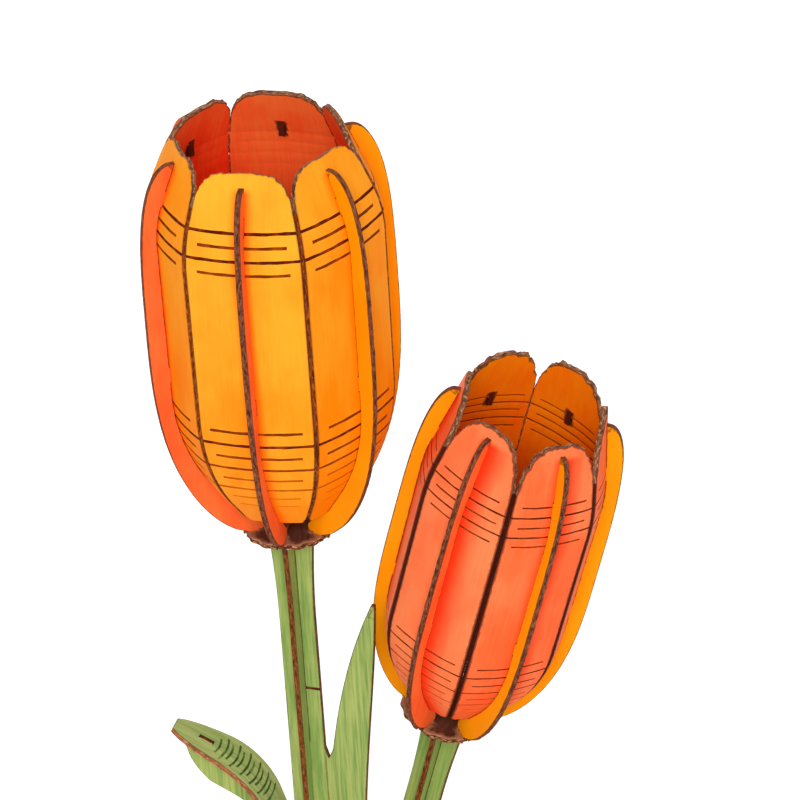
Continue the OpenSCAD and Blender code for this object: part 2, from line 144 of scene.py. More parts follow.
def paint(name, description, *parts):
    return FloatVectorProperty(
        name=name,
        description=description,
        subtype="COLOR",
        size=3,
        min=0,
        max=1,
        default=[linear(part / 255) for part in parts],
    )


class SheetSizes(PropertyGroup):
    ply: length("Sheet", "Thickness of the cut sheet", 1.5)
    play: length("Tab play", "Play of a tab across its slot", 0.15)
    end_play: length("Slot end play", "Play of a tab along its slot", 0.4)
    notch_play: length("Notch play", "Play behind a rib's foot in its notch", 0.2)
    gap: length("Petal gap", "Gap between two neighbouring petals", 0.005)
    soft_edge: length("Soft edge", "Width of the rounded, burnt rim of a face", 0.18)
    soft_depth: length("Soft edge depth", "Depth of the rounded rim", 0.12)
    score_width: length("Score width", "Width of an engraved line", 0.82)
    score_depth: length("Score depth", "Depth of an engraved line", 0.3)
    back_score_depth: length("Back score depth", "Depth of the same line on the back", 0.05)
    score_wave: length("Score wave", "Unevenness of an engraved line", 0.06)
    hole_share: share("Hole share", "Narrowness of the scorch round a hole", 0.45)
    spacing: length("Mesh spacing", "Distance between two points of a face", 1.6)


class PetalSizes(PropertyGroup):
    foot_radius: length("Foot radius", "Radius of the petals at their lower edge", 13.9)
    foot_height: length("Foot height", "Height of that edge above the sepal disc", 8.8)
    foot_length: length("Foot length", "Sheet below the lowest score line", 10.3)
    lower_pitch: length("Lower pitch", "Distance between two lower score lines", 3.9)
    straight: length("Straight", "Sheet between the two bends", 45.2)
    upper_pitch: length("Upper pitch", "Distance between two upper score lines", 3.6)
    tip_length: length("Tip length", "Sheet above the highest score line", 15.6)
    foot_lean: angle("Foot lean", "Lean of the sheet at its lower edge, outwards", 34)
    straight_lean: angle("Straight lean", "Lean of the sheet between the bends", 0.5)
    tip_lean: angle("Tip lean", "Lean of the sheet at its upper edge, inwards", 22)
    bow_distance: length("Bow distance", "Distance of the bow's line behind the axis", 26)
    taper: share("Taper", "Narrowing of the sheet towards its top", 0.08)
    wave: length("Edge wave", "Height of the waves of the upper edge", 0.42)
    corner: length("Foot corner", "Radius of the lower corners", 1.2)
    line_inset: length("Line inset", "Distance of a short line's end from the edge", 2.6)
    leaf_trim: length("Leaf trim", "Cut off one side, to pass the flat leaf's tip", 0.4)


class RibSizes(PropertyGroup):
    depth: length("Rib depth", "Width of a rib outside the straight sheet", 4.9)
    belly_rise: length("Belly rise", "Widest place above the lower bend", 20.6)
    top_inset: length("Top inset", "Petal's upper edge above the rib's end", 4.1)
    tip_depth: length("Tip depth", "Width of a rib at its upper end", 1.3)
    tab_height: length("Tab height", "Height of a rib's tabs", 4.2)
    upper_tab_inset: length("Upper tab inset", "Petal's edge above the upper tab", 15.3)
    lower_tab_rise: length("Lower tab rise", "Lower tab above the lower bend", 5.6)
    tab_out: length("Tab end", "Length of a tab inside the petal", 0.1)
    shoulder_length: length("Shoulder length", "Shoulder of a rib on its disc", 1.6)
    shoulder_height: length("Shoulder height", "Height of that shoulder", 1.8)
    step_in: length("Ledge step", "Step below the ledge that carries the petal", 1.2)
    foot_inset: length("Foot inset", "Inset of a rib's foot from the disc's edge", 0.5)
    ledge_share: share("Ledge share", "Part of the sheet that stands on the ledge", 0.8)


class DiscSizes(PropertyGroup):
    tall_radius: length("Tall sepal disc", "Radius of the tall tulip's sepal disc", 11.8)
    short_radius: length("Short sepal disc", "Radius of the short tulip's disc", 12.2)
    collar_radius: length("Collar disc", "Radius of the disc below a sepal disc", 7.6)
    notch_length: length("Notch length", "Length of a rib's foot in its notch", 3.6)
    wave: length("Disc wave", "Height of the waves of a disc's edge", 0.25)


class StemSizes(PropertyGroup):
    width: length("Stem width", "Width of a stem", 9.4)
    head_width: length("Head width", "Width of a stem below the collar disc", 12)
    flare: length("Flare", "Length over which a stem widens", 26)
    tenon_width: length("Tenon width", "Width of the tenon that holds the discs", 8)
    tenon_out: length("Tenon end", "Height of the tenon above the sepal disc", 1.2)
    lap_share: share("Lap share", "Part of the height where the planks hook", 0.5)
    tall_turn: angle("Tall stem turn", "Turn of the tall stem's planks", -19)
    short_turn: angle("Short stem turn", "Turn of the short stem's planks", 3.8)
    line_height: length("Line height", "Height of the engraved line on the stem", 82)
    divider_top: length("Divider top", "Top of the line between stem and leaf", 61)


class HeadPlaces(PropertyGroup):
    tall_height: length("Tall disc height", "Height of the tall sepal disc", 131)
    short_height: length("Short disc height", "Height of the short sepal disc", 66.7)
    short_right: length("Short disc right", "Short disc right of the tall one", 36.3)
    short_back: length("Short disc back", "Short disc behind the tall one", 8)
    lean: angle("Lean", "Lean of the short tulip", 17.5)
    lean_turn: angle("Lean turn", "Compass direction of that lean", -33)
    short_share: share("Short share", "Short head's size against the tall one's", 0.82)
    short_extra: length("Short extra", "Extra straight sheet of the short petals", 5.3)
    short_tip_extra: length("Short tip extra", "Extra sheet above their score lines", 8)
    short_tip_lean: angle("Short tip lean", "Lean of the short petals' tips, inwards", 12)
    tall_power: share("Tall petal fullness", "Fullness of the tall petals' tops", 4.2)
    short_power: share("Short petal fullness", "Fullness of the short tops", 3.1)
    tall_turn: angle("Tall head turn", "Turn of the tall head about its stem", -13)
    short_turn: angle("Short head turn", "Turn of the short head", -6.2)


class LeafSizes(PropertyGroup):
    tip_reach: length("Flat tip reach", "Flat leaf's tip from the stem's middle", 20.3)
    tip_height: length("Flat tip height", "Height of the flat leaf's tip", 109)
    foot_reach: length("Flat foot reach", "Flat leaf's middle at its foot", 8)
    foot_height: length("Flat foot height", "Height of the flat leaf's foot", 12)
    half_width: length("Flat half width", "Largest half width of the flat leaf", 4.9)
    tip_half_width: length("Flat tip width", "Half width of the flat leaf's tip", 0.5)
    bent_reach: length("Bent foot reach", "Bent leaf's lower edge from the stem", 7)
    bent_height: length("Bent foot height", "Height of the bent leaf's foot", 31.7)
    bent_foot: length("Bent foot length", "Bent leaf below its score lines", 15)
    bent_pitch: length("Bent pitch", "Distance between two of its score lines", 2.4)
    bent_tip: length("Bent tip length", "Bent leaf beyond its score lines", 14.7)
    bent_foot_lean: angle("Bent foot lean", "Lean at the bent leaf's foot", 20)
    bent_tip_lean: angle("Bent tip lean", "Lean at the bent leaf's tip", 64)
    bent_half_width: length("Bent half width", "Largest half width", 6.5)
    bent_foot_half: length("Bent foot width", "Half width at its foot", 4.6)
    bent_tip_half: length("Bent tip width", "Half width at its tip", 0.3)
    keel_depth: length("Keel depth", "Depth of the rib below the bent leaf", 9.5)
    keel_tip_depth: length("Keel tip depth", "Depth of that rib at its tip", 5)
    keel_foot_depth: length("Keel foot depth", "Depth of that rib at its foot", 4.5)
    keel_root: length("Keel root", "Height where that rib leaves the stem", 14)
    keel_tip_inset: length("Keel inset", "Bent leaf's tip beyond its rib", 4.4)
    tab_length: length("Leaf tab", "Length of the rib's tab", 3.4)
    tab_inset: length("Leaf tab inset", "Bent leaf's tip beyond the tab's middle", 9)
    stroke_pitch: length("Stroke pitch", "Distance between its engraved strokes", 1.7)
    tab_out: length("Leaf tab end", "Height of the tab above the leaf", 0.02)


class StandSizes(PropertyGroup):
    size_x: length("Stand length", "Length of the stand", 112)
    size_y: length("Stand width", "Width of the stand", 84)
    plate: length("Plate", "Thickness of each of its two plates", 3)
    corner: length("Corner radius", "Radius of the stand's corners", 30)
    right: length("Right", "Stand's middle right of the origin", 22)
    back: length("Back", "Stand's middle behind the origin", 4)


class ViewSettings(PropertyGroup):
    height_angle: angle("Height angle", "Angle of the view above level", 31.5)
    roll: angle("Roll", "Turn of the camera about its line of sight", -4.07)
    distance: length("Distance", "Distance of the camera", 1925)
    lens: FloatProperty(name="Lens", description="Focal length in millimetres", default=346.5)
    aim_height: length("Aim height", "Height of the point that the view is set from", 130)
    aim_right: length("Aim right", "Middle of the view right of that point", 27.375)
    aim_up: length("Aim up", "Middle of the view above that point", 31.5)


class Paints(PropertyGroup):
    tall_outside: paint("Tall outside", "Outside of the tall petals", 252, 183, 48)
    tall_deep: paint("Tall outside deep", "Deeper outside paint", 255, 129, 0)
    # painted shade, with the red rib's painted reflection, on the petals right of the tall ribs
    tall_shading: paint("Tall glow", "Paint right of the tall ribs", 255, 94, 0)
    tall_inside: paint("Tall inside", "Inside of the tall petals", 255, 134, 62)
    tall_inside_deep: paint("Tall inside deep", "Deeper inside paint", 255, 60, 20)
    tall_side: paint("Tall side", "Cut side of a tall petal", 148, 78, 36)
    tall_side_char: paint("Tall side char", "Darkest part of that side", 96, 40, 16)
    short_outside: paint("Short outside", "Outside of the short petals", 254, 144, 90)
    short_deep: paint("Short outside deep", "Deeper outside paint", 252, 92, 40)
    # painted shade, with the rib's painted reflection, on the petals right of the short tulip's ribs
    short_shading: paint("Short glow", "Paint right of the short tulip's ribs", 244, 54, 16)
    short_inside: paint("Short inside", "Inside of the short petals", 255, 158, 10)
    short_inside_deep: paint("Short inside deep", "Deeper inside paint", 255, 92, 8)
    rib_red: paint("Rib red", "Red faces of the ribs", 252, 115, 54)
    rib_red_deep: paint("Rib red deep", "Deeper red of the ribs", 246, 80, 30)
    rib_orange: paint("Rib orange", "Orange faces of the tall tulip's ribs", 255, 152, 4)
    rib_orange_deep: paint("Rib orange deep", "Deeper orange of those ribs", 255, 134, 0)
    rib_yellow: paint("Rib yellow", "Yellow faces of the short tulip's ribs", 252, 160, 8)
    rib_yellow_deep: paint("Rib yellow deep", "Deeper yellow of those ribs", 252, 143, 0)
    disc: paint("Disc", "Stain of the sepal discs", 98, 56, 40)
    disc_deep: paint("Disc deep", "Darker stain of the sepal discs", 58, 30, 22)
    disc_rim: paint("Disc rim", "Scorched margin of the sepal discs", 170, 122, 88)
    collar: paint("Collar", "Stain of the collar discs", 176, 122, 84)
    stem: paint("Stem", "Stain of the stems", 174, 184, 102)
    # also the base of the darker copy of the stem green, which is painted shade on the tall stem's
    # cross plank
    stem_deep: paint("Stem deep", "Darker streaks of the stems", 120, 150, 76)
    stem_char: paint("Stem char", "Darkest part of a stem's cut edge", 74, 36, 14)
    stem_toast: paint("Stem toast", "Middle brown of that edge", 130, 70, 28)
    stem_tan: paint("Stem tan", "Lightest part of that edge", 186, 124, 66)
    leaf: paint("Leaf", "Stain of the leaves", 170, 181, 104)
    leaf_line: paint("Leaf line", "Engraved lines of the bent leaf", 70, 96, 40)
    # lighter than the flat leaf's stain: painted light on the bent leaf's upper face
    bent_leaf: paint("Bent leaf", "Stain of the bent leaf", 184, 192, 118)
    leaf_edge: paint("Leaf edge", "Cut edge of the bent leaf", 172, 106, 66)
    leaf_deep: paint("Leaf deep", "Veins of the leaves", 118, 147, 72)
    birch: paint("Birch", "Bare wood of the stand", 226, 196, 150)
    birch_deep: paint("Birch deep", "Grain of the bare wood", 196, 156, 108)
    score: paint("Score", "Burnt bottom of an engraved line", 92, 26, 4)
    score_light: paint("Score light", "Lighter parts of an engraved line", 150, 58, 12)
    char: paint("Char", "Darkest part of a burnt edge", 66, 30, 20)
    toast: paint("Toast", "Middle brown of a burnt edge", 130, 70, 46)
    tan: paint("Tan", "Lightest part of a burnt edge", 200, 140, 96)
    edge_char: paint("Top char", "Darkest part of a petal's top edge", 84, 48, 38)
    edge_toast: paint("Top toast", "Middle brown of a petal's top edge", 138, 92, 66)
    edge_tan: paint("Top tan", "Lightest part of a petal's top edge", 210, 158, 110)
    floor: paint("Floor", "Plain pale floor", 240, 240, 240)


class TulipSettings(PropertyGroup):
    sheet: PointerProperty(type=SheetSizes)
    petals: PointerProperty(type=PetalSizes)
    ribs: PointerProperty(type=RibSizes)
    discs: PointerProperty(type=DiscSizes)
    stems: PointerProperty(type=StemSizes)
    heads: PointerProperty(type=HeadPlaces)
    leaves: PointerProperty(type=LeafSizes)
    stand: PointerProperty(type=StandSizes)
    view: PointerProperty(type=ViewSettings)
    paints: PointerProperty(type=Paints)


def tulips():
    return bpy.context.scene.tulips


# plane geometry
def ratio(part, start, end):
    return start + (end - start) * part


def walk(point, steps):
    """Points of a bent sheet, one more after each step of (length, lean)."""
    line = [point]
    for size, lean in steps:
        x, y = line[-1]
        line.append((x + size * math.sin(lean), y + size * math.cos(lean)))
    return np.array(line)


def left_of(ways):
    """Step of 1 to the left of each way."""
    ways = ways / np.linalg.norm(ways, axis=1)[:, None]
    return np.stack([-ways[:, 1], ways[:, 0]], axis=1)


def corner_shifts(line):
    """Mitred step to the left of a line at each of its points, for a distance of 1."""
    sides = left_of(np.diff(line, axis=0))
    shifts = [sides[0]]
    for before, after in zip(sides, sides[1:]):
        middle = (before + after) / np.linalg.norm(before + after)
        shifts.append(middle / middle.dot(after))
    return np.array(shifts + [sides[-1]])


def lengths_along(line):
    """Length of a line up to each of its points."""
    return np.concatenate([[0], np.cumsum(np.linalg.norm(np.diff(line, axis=0), axis=1))])


def bent(along, depth, run, line, shifts):
    """Both coordinates of points in a bent sheet, from their lengths and depths."""
    return [
        np.interp(along, run, line[:, i]) + depth * np.interp(along, run, shifts[:, i])
        for i in (0, 1)
    ]


def close_loop(loop, step):
    """The closed line with points at most a step apart."""
    points = []
    for start, end in zip(loop, np.roll(loop, -1, axis=0)):
        count = max(1, math.ceil(np.linalg.norm(end - start) / step))
        points += [start + (end - start) * i / count for i in range(count)]
    return np.array(points)


def clean_loop(loop, wanted=True):
    """The closed line without doubled points, turned anticlockwise where that is wanted."""
    loop = np.asarray(loop, dtype=float)
    loop = loop[np.linalg.norm(loop - np.roll(loop, 1, axis=0), axis=1) > LEAST_STEP]
    x, y = loop[:, 0], loop[:, 1]
    area = (x * np.roll(y, -1) - np.roll(x, -1) * y).sum()
    return loop if (area > 0) == wanted else loop[::-1]


def inset(loop, by):
    """The closed line moved to its left, which is into the sheet."""
    before = loop - np.roll(loop, 1, axis=0)
    side = left_of(before)
    middle = side + left_of(np.roll(before, -1, axis=0))
    middle /= np.maximum(np.linalg.norm(middle, axis=1), 1e-9)[:, None]
    slant = np.clip((middle * side).sum(axis=1), LEAST_SLANT, 1)
    return loop + middle * (by / slant)[:, None]


def distance_to(points, loops):
    """Distance of each point to the nearest of the closed lines."""
    best = np.full(len(points), 1e9)
    for loop in loops:
        for start, end in zip(loop, np.roll(loop, -1, axis=0)):
            way = end - start
            part = np.clip((points - start) @ way / max(way @ way, 1e-18), 0, 1)
            away = np.linalg.norm(points - start - part[:, None] * way, axis=1)
            best = np.minimum(best, away)
    return best


def inside(points, loops):
    """True for each point in an odd number of the closed lines."""
    odd = np.zeros(len(points), dtype=bool)
    x, y = points[:, 0], points[:, 1]
    for loop in loops:
        for (ax, ay), (bx, by) in zip(loop, np.roll(loop, -1, axis=0)):
            if ay != by:
                across = (ay > y) != (by > y)
                odd ^= across & (x < (bx - ax) * (y - ay) / (by - ay) + ax)
    return odd


def add_line(points, edges, line, closed=True):
    first = len(points)
    count = len(line)
    points += [tuple(p) for p in line]
    edges += [(first + i, first + (i + 1) % count) for i in range(count - 1 + closed)]


def triangles(points, edges, kept):
    """Points and anticlockwise triangles between the edges, where kept says so."""
    made = delaunay_2d_cdt([Vector(p) for p in points], edges, [], 0, 1e-8)
    flat = np.array([tuple(p) for p in made[0]])
    faces = np.array(made[2])
    faces = faces[kept(flat[faces].mean(axis=1))]
    a, b, c = (flat[faces[:, i]] for i in range(3))
    area = (b - a)[:, 0] * (c - a)[:, 1] - (b - a)[:, 1] * (c - a)[:, 0]
    faces[area < 0] = faces[area < 0][:, ::-1]
    return flat, faces


def united(shapes):
    """Outer loops and holes of the union of closed lines."""
    points, edges = [], []
    for shape in shapes:
        add_line(points, edges, shape)
    flat, faces = triangles(
        points, edges, lambda spots: np.any([inside(spots, [shape]) for shape in shapes], axis=0)
    )
    return [flat[loop] for loop in border_loops(faces)]


def border_loops(faces):
    """Closed border lines as lists of point numbers, with the sheet on their left."""
    ways = {(int(f[i]), int(f[(i + 1) % 3])) for f in faces for i in range(3)}
    after = {a: b for a, b in ways if (b, a) not in ways}
    loops = []
    while after:
        loop = [min(after)]
        step = after.pop(loop[0])
        while step != loop[0]:
            loop.append(step)
            step = after.pop(step)
        loops.append(loop)
    return loops


def full_turn(count):
    return np.arange(count) * 2 * math.pi / count


def circle(radius, turn):
    return np.column_stack([radius * np.cos(turn), radius * np.sin(turn)])


def both_sides(right):
    """Closed line from its right side, which runs upwards."""
    return np.array([*right, *[(-x, y) for x, y in reversed(right)]])


def slot_half():
    """Half the width of a slot for a sheet."""
    sizes = tulips().sheet
    return (sizes.ply + sizes.play) / 2


def slot_loop(low, high):
    half = slot_half()
    return np.array([(-half, low), (half, low), (half, high), (-half, high)])


def about_z(turn):
    return Matrix.Rotation(turn, 4, "Z")


def wobble(part, seed):
    """A smooth uneven value between -1 and 1, the same on every run."""
    return (
        0.45 * np.sin(part * 1.0 + seed * 1.7)
        + 0.33 * np.sin(part * 1.73 + seed * 3.1 + 1)
        + 0.22 * np.sin(part * 3.31 + seed * 0.9 + 2)
    )


# cutting a sheet
def hex_points(low, high, spacing):
    points = []
    for i, y in enumerate(np.arange(low[1], high[1], spacing * ROW_SHARE)):
        points += [(x, y) for x in np.arange(low[0] + (i % 2) * spacing / 2, high[0], spacing)]
    return np.array(points)


class Score:
    """An engraved line, a little uneven, with its strength from 0 to 1."""

    # steps of the unevenness in a millimetre, of its path and of its width
    path_rate = 0.9
    width_rate = 0.7
    # how uneven its width is, the width of the faintest line, and how blunt its ends are
    width_play = 0.18
    faint_width = 0.7
    end_share = 0.2

    def __init__(self, start, end, strength=1.0, width=1.0, arch=0.0, seed=0.0):
        sizes = tulips().sheet
        self.start, self.end = np.array(start), np.array(end)
        self.size = np.linalg.norm(self.end - self.start)
        self.way = (self.end - self.start) / self.size
        self.side = np.array([-self.way[1], self.way[0]])
        self.half = sizes.score_width / 2 * width * ratio(strength, self.faint_width, 1)
        self.strength, self.arch, self.seed = strength, arch, seed
        self.wave = sizes.score_wave

    def drift(self, part):
        uneven = self.wave * wobble(part * self.size / MM * self.path_rate, self.seed)
        return uneven + self.arch * 4 * part * (1 - part)

    def swell(self, part):
        spot = part * self.size / MM * self.width_rate
        return 1 + self.width_play * wobble(spot, self.seed + 5)

    def strands(self, spacing):
        """Its two edges and its middle, which is a little shorter."""
        parts = np.linspace(0, 1, max(4, math.ceil(self.size / spacing)) + 1)
        drift = self.drift(parts)[:, None] * self.side
        swell = self.swell(parts)[:, None]
        for shift, cut in ((self.half, 0), (0, self.half), (-self.half, 0)):
            line = ratio(parts[:, None], self.start + self.way * cut, self.end - self.way * cut)
            yield line + drift + self.side * shift * swell

    def away(self, points):
        """Distance of each point to the line's middle, against its half width."""
        rest = points - self.start
        along = rest @ self.way
        part = np.clip(along / self.size, 0, 1)
        beside = rest @ self.side - self.drift(part)
        beyond = np.maximum(np.maximum(-along, along - self.size), 0)
        across = beside / (self.half * self.swell(part))
        return np.hypot(across, beyond / (self.half * self.end_share))


def flat_mesh(loops, scores):
    """The pattern's points and triangles, finer along its edge and its engraved lines."""
    sizes = tulips().sheet
    spacing = sizes.spacing
    points, edges = [], []
    for loop in [*loops, *[inset(loop, sizes.soft_edge) for loop in loops]]:
        add_line(points, edges, loop)
    for score in scores:
        for strand in score.strands(spacing):
            add_line(points, edges, strand, False)
    grid = hex_points(loops[0].min(axis=0), loops[0].max(axis=0), spacing)
    grid = grid[inside(grid, loops)]
    grid = grid[distance_to(grid, loops) > spacing * EDGE_SHARE]
    for score in scores:
        grid = grid[score.away(grid) > 1 + spacing * 0.3 / score.half]
    points += [tuple(p) for p in grid]
    flat, faces = triangles(points, edges, lambda spots: inside(spots, loops))
    used, faces = np.unique(faces, return_inverse=True)
    return flat[used], faces.reshape(-1, 3)


def set_values(mesh, name, domain, values):
    layer = mesh.attributes.new(name, "FLOAT_VECTOR", domain)
    layer.data.foreach_set("vector", values.astype("f4").ravel())


def cut_sheet(name, loops, place, ply, materials, scores=(), seed=0, shade_tone=0.0, look=None,
              walls=None):
    """Makes one piece from its flat pattern.

    loops are its outline and holes, scores its engraved lines, and place turns flat points
    and their depth in the sheet into space. look names the slots of a face's triangles from
    their middles, and walls the slots of the cut edge from points on it.
    """
    sizes = tulips().sheet
    solid = [
        close_loop(clean_loop(loop, i == 0), sizes.spacing * EDGE_SHARE)
        for i, loop in enumerate(loops)
    ]
    flat, faces = flat_mesh(solid, scores)
    borders = border_loops(faces)
    # around a hole only the back is charred, and further from the edge
    rim = rim_back = distance_to(flat, solid[:1])
    if len(solid) > 1:
        rim_back = np.minimum(rim, sizes.hole_share * distance_to(flat, solid[1:]))
    soft = np.zeros(len(flat))
    soft[np.concatenate(borders)] = sizes.soft_depth
    cut_in = np.zeros(len(flat))
    for score in scores:
        middle = score.away(flat) < ON_MIDDLE
        cut_in[middle] = np.maximum(cut_in[middle], ratio(score.strength, FAINT_DEPTH, 1))
    depth_in = soft + cut_in * sizes.score_depth
    depth_out = ply - soft - cut_in * sizes.back_score_depth

    # the two faces
    corners = [place(flat, depth_in), place(flat, depth_out)]
    count = len(flat)
    quads, quad_sheet, quad_slots = [], [], []
    # the cut edge: a rounded rim and layers of veneer that the laser left uneven
    rng = np.random.default_rng(seed + SEEDS["edge"])
    first = 2 * count
    for loop in borders:
        line = flat[loop]
        ahead = np.roll(line, -1, axis=0)
        out = -left_of(ahead - np.roll(line, 1, axis=0))
        arc = lengths_along(np.vstack([line, line[:1]]))
        rows = [np.array(loop)]
        depths = [depth_in[loop]]
        for part, step in VENEERS:
            rough = (step - VENEER_ROUGHNESS * rng.random(len(loop))) * MM
            depths.append(np.full(len(loop), ply * part))
            corners.append(place(line + out * rough[:, None], depths[-1]))
            rows.append(first + np.arange(len(loop)))
            first += len(loop)
        rows.append(np.array(loop) + count)
        depths.append(depth_out[loop])
        slots = np.full(len(loop), CUT) if walls is None else walls((line + ahead) / 2)
        for i in range(len(loop)):
            j = (i + 1) % len(loop)
            for r in range(len(rows) - 1):
                spots = ((r, i, i), (r + 1, i, i), (r + 1, j, i + 1), (r, j, i + 1))
                quads.append(tuple(rows[a][b] for a, b, _ in spots))
                quad_slots.append(slots[i])
                quad_sheet += [(arc[c], depths[a][b], 1) for a, b, c in spots]

    mesh = bpy.data.meshes.new(name)
    vertices = np.concatenate(corners)
    polygons = faces.tolist() + (faces[:, ::-1] + count).tolist() + quads
    mesh.from_pydata(vertices.tolist(), [], polygons)
    # which paint each face has, and how strong each engraved line is
    middle = flat[faces].mean(axis=1)
    strength = np.zeros(len(faces))
    for score in scores:
        strength = np.where(score.away(middle) < 1, score.strength, strength)
    scored = strength > 0
    slots, values = [], []
    for side, mark, way, distance in ((FRONT, SCORED, 1, rim), (BACK, BACK_SCORED, -1, rim_back)):
        slot = np.full(len(faces), side) if look is None else look(middle, side)
        slots.append(np.where(scored, mark, slot))
        # across, along, and distance from the edge or strength of the line, for the paint
        sheet = np.column_stack([flat, distance])[faces]
        sheet[scored, :, 2] = strength[scored][:, None]
        values.append(sheet[:, ::way].reshape(-1, 3))
    slots = np.concatenate([*slots, np.array(quad_slots)])
    mesh.polygons.foreach_set("material_index", slots.astype("i4"))
    set_values(mesh, "sheet", "CORNER", np.concatenate([*values, np.array(quad_sheet)]))
    piece = [shade_tone, seed * PATTERN_STEP, 0]
    set_values(mesh, "piece", "POINT", np.tile(piece, (len(vertices), 1)))
    for material in materials:
        mesh.materials.append(material)
    mesh.validate()
    mesh.shade_smooth()
    mesh.set_sharp_from_angle(angle=SHARP_ANGLE)
    return mesh


def cut_level(mesh, height):
    """Cuts a leaning piece level where it stands."""
    work = bmesh.new()
    work.from_mesh(mesh)
    cut = bmesh.ops.bisect_plane(
        work,
        geom=work.verts[:] + work.edges[:] + work.faces[:],
        plane_co=(0, 0, height),
        plane_no=(0, 0, -1),
        clear_outer=True,
    )
    edges = [e for e in cut["geom_cut"] if isinstance(e, bmesh.types.BMEdge)]
    for face in bmesh.ops.contextual_create(work, geom=edges)["faces"]:
        face.material_index = CUT
    work.to_mesh(mesh)
    work.free()


def make_piece(node, slot, matrix, *pattern, name=None, foot=None, **looks):
    """Cuts a piece and puts it in place for its node, level at its foot where that is given."""
    name = name or node + "_sheet"
    mesh = cut_sheet(name, *pattern, **looks)
    if matrix is not None:
        mesh.transform(matrix)
    if foot is not None:
        cut_level(mesh, foot)
    # an upright pattern's faces come out turned inwards
    work = bmesh.new()
    work.from_mesh(mesh)
    if work.calc_volume(signed=True) < 0:
        bmesh.ops.reverse_faces(work, faces=work.faces)
        work.to_mesh(mesh)
    work.free()
    piece = bpy.data.objects.new(name, mesh)
    bpy.context.scene.collection.objects.link(piece)
    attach(piece, NODE_BODY[node])
    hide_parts(node)


def flat_place(ply):
    """Upright flat piece: its pattern is (across, height), its front faces +Y."""
    return lambda flat, depth: np.column_stack([flat[:, 0], ply / 2 - depth, flat[:, 1]])


def level_place(top):
    """Level flat piece: its pattern is (x, y), its front is its upper face."""
    return lambda flat, depth: np.column_stack([flat, top - depth])


# heads
def head_of(number):
    """Sizes and place of the tall (1) or the short (2) tulip's head."""
    s = tulips()
    h = s.heads
    if number == 1:
        return SimpleNamespace(
            share=1.0, extra=0.0, tip_extra=0.0, tip_lean=s.petals.tip_lean,
            power=h.tall_power, rough=0.8, score=1.0, turn=h.tall_turn,
            disc=s.discs.tall_radius, stem_turn=s.stems.tall_turn,
            matrix=Matrix.Translation((0, 0, h.tall_height)),
        )
    return SimpleNamespace(
        share=h.short_share, extra=h.short_extra, tip_extra=h.short_tip_extra,
        tip_lean=h.short_tip_lean, power=h.short_power, rough=1.5, score=0.6,
        turn=h.short_turn, disc=s.discs.short_radius, stem_turn=s.stems.short_turn,
        matrix=Matrix.Translation((h.short_right, h.short_back, h.short_height))
        @ about_z(h.lean_turn)
        @ Matrix.Rotation(h.lean, 4, "Y"),
    )


def petal_turn(head, k):
    """Direction of a head's petal, the first one of which is in front."""
    return head.turn + math.radians(-90 + 360 * k / PETALS)


def petal_matrix(head, k):
    return head.matrix @ about_z(petal_turn(head, k))


def petal_line(head):
    """Outer face of a petal as (radius, height), from its foot to its tip."""
    p = tulips().petals
    steps = []
    for i in range(LOWER_LINES):
        lean = ratio(i / LOWER_LINES, p.foot_lean, p.straight_lean)
        steps.append(((p.lower_pitch if i else p.foot_length) * head.share, lean))
    steps.append((p.straight * head.share + head.extra, p.straight_lean))
    for i in range(1, UPPER_LINES + 1):
        size = p.upper_pitch * head.share
        if i == UPPER_LINES:
            size = p.tip_length * head.share + head.tip_extra
        steps.append((size, ratio(i / UPPER_LINES, p.straight_lean, -head.tip_lean)))
    return walk((p.foot_radius * head.share, p.foot_height * head.share), steps)


def radius_at(line, height):
    return np.interp(height, line[:, 1], line[:, 0])


def half_width(head, radius):
    """Half width that keeps a bowed petal inside its share of the ring."""
    s = tulips()
    t = math.tan(math.pi / PETALS)
    g = s.sheet.gap / 2 / math.cos(math.pi / PETALS)
    b = s.petals.bow_distance * head.share
    big = radius + b
    k = b - t * g
    root = np.sqrt(k * k - (1 + t * t) * (b * b + g * g - big * big))
    return t * ((-k + root) / (1 + t * t)) - g


def petal_outline(head, seed, trim):
    """Edge of a petal as (across, height): round feet, straight sides, wavy round top."""
    s = tulips()
    p = s.petals
    outer = petal_line(head)
    inner = outer + corner_shifts(outer) * s.sheet.ply
    foot = outer[0][1]
    width = half_width(head, inner[0][0])
    c = p.corner * 0.7 * head.share
    side = [
        (width - c + c * math.sin(a), foot + c - c * math.cos(a))
        for a in np.radians(CORNER_ANGLES)
    ]
    top = inner[-1][1] - s.sheet.soft_edge
    bend = outer[LOWER_LINES + UPPER_LINES][1]
    met = ratio(1 - s.sheet.soft_depth / s.sheet.ply, outer, inner)

    def limit(z):
        """Half width where the inner face's rim meets its neighbours'."""
        return half_width(head, np.interp(z, outer[:, 1], met[:, 0]))

    low = foot + 2 * c
    creases = [z for z in outer[:, 1] if low < z < bend]
    side += [(limit(z), z) for z in np.union1d(np.arange(low, bend, 2 * MM), creases)]
    rise = top - bend - 0.5 * p.wave * head.rough
    count = PETAL_WAVES * WAVE_POINTS
    upper = []
    for i in range(count + 1):
        t = math.pi * i / count
        up, out = math.sin(t), math.cos(t)
        rough = 0.35 * math.sin(2 * math.pi * PETAL_WAVES * i / count + seed)
        rough += float(wobble(t * 19, seed))
        wave = p.wave * head.rough * up * rough
        z = min(bend + rise * up + wave * up, top)
        power = math.copysign(abs(out) ** (2 / head.power), out) * (1 - p.taper * up)
        y = max(-limit(z), min(limit(z), limit(bend) * power))
        upper.append((y + wave * out * up, z))
    outline = np.array([*side, *upper, *[(-y, z) for y, z in reversed(side)]])
    outline[:, 0] = [min(y, limit(z) - trim) for y, z in outline]
    return outline


def tab_heights(head, outer):
    """Feet of the upper and lower tabs of a rib, which are those of the petal's slots."""
    r = tulips().ribs
    return (
        outer[-1][1] - r.upper_tab_inset * head.share - head.tip_extra,
        outer[LOWER_LINES][1] + r.lower_tab_rise * head.share,
    )


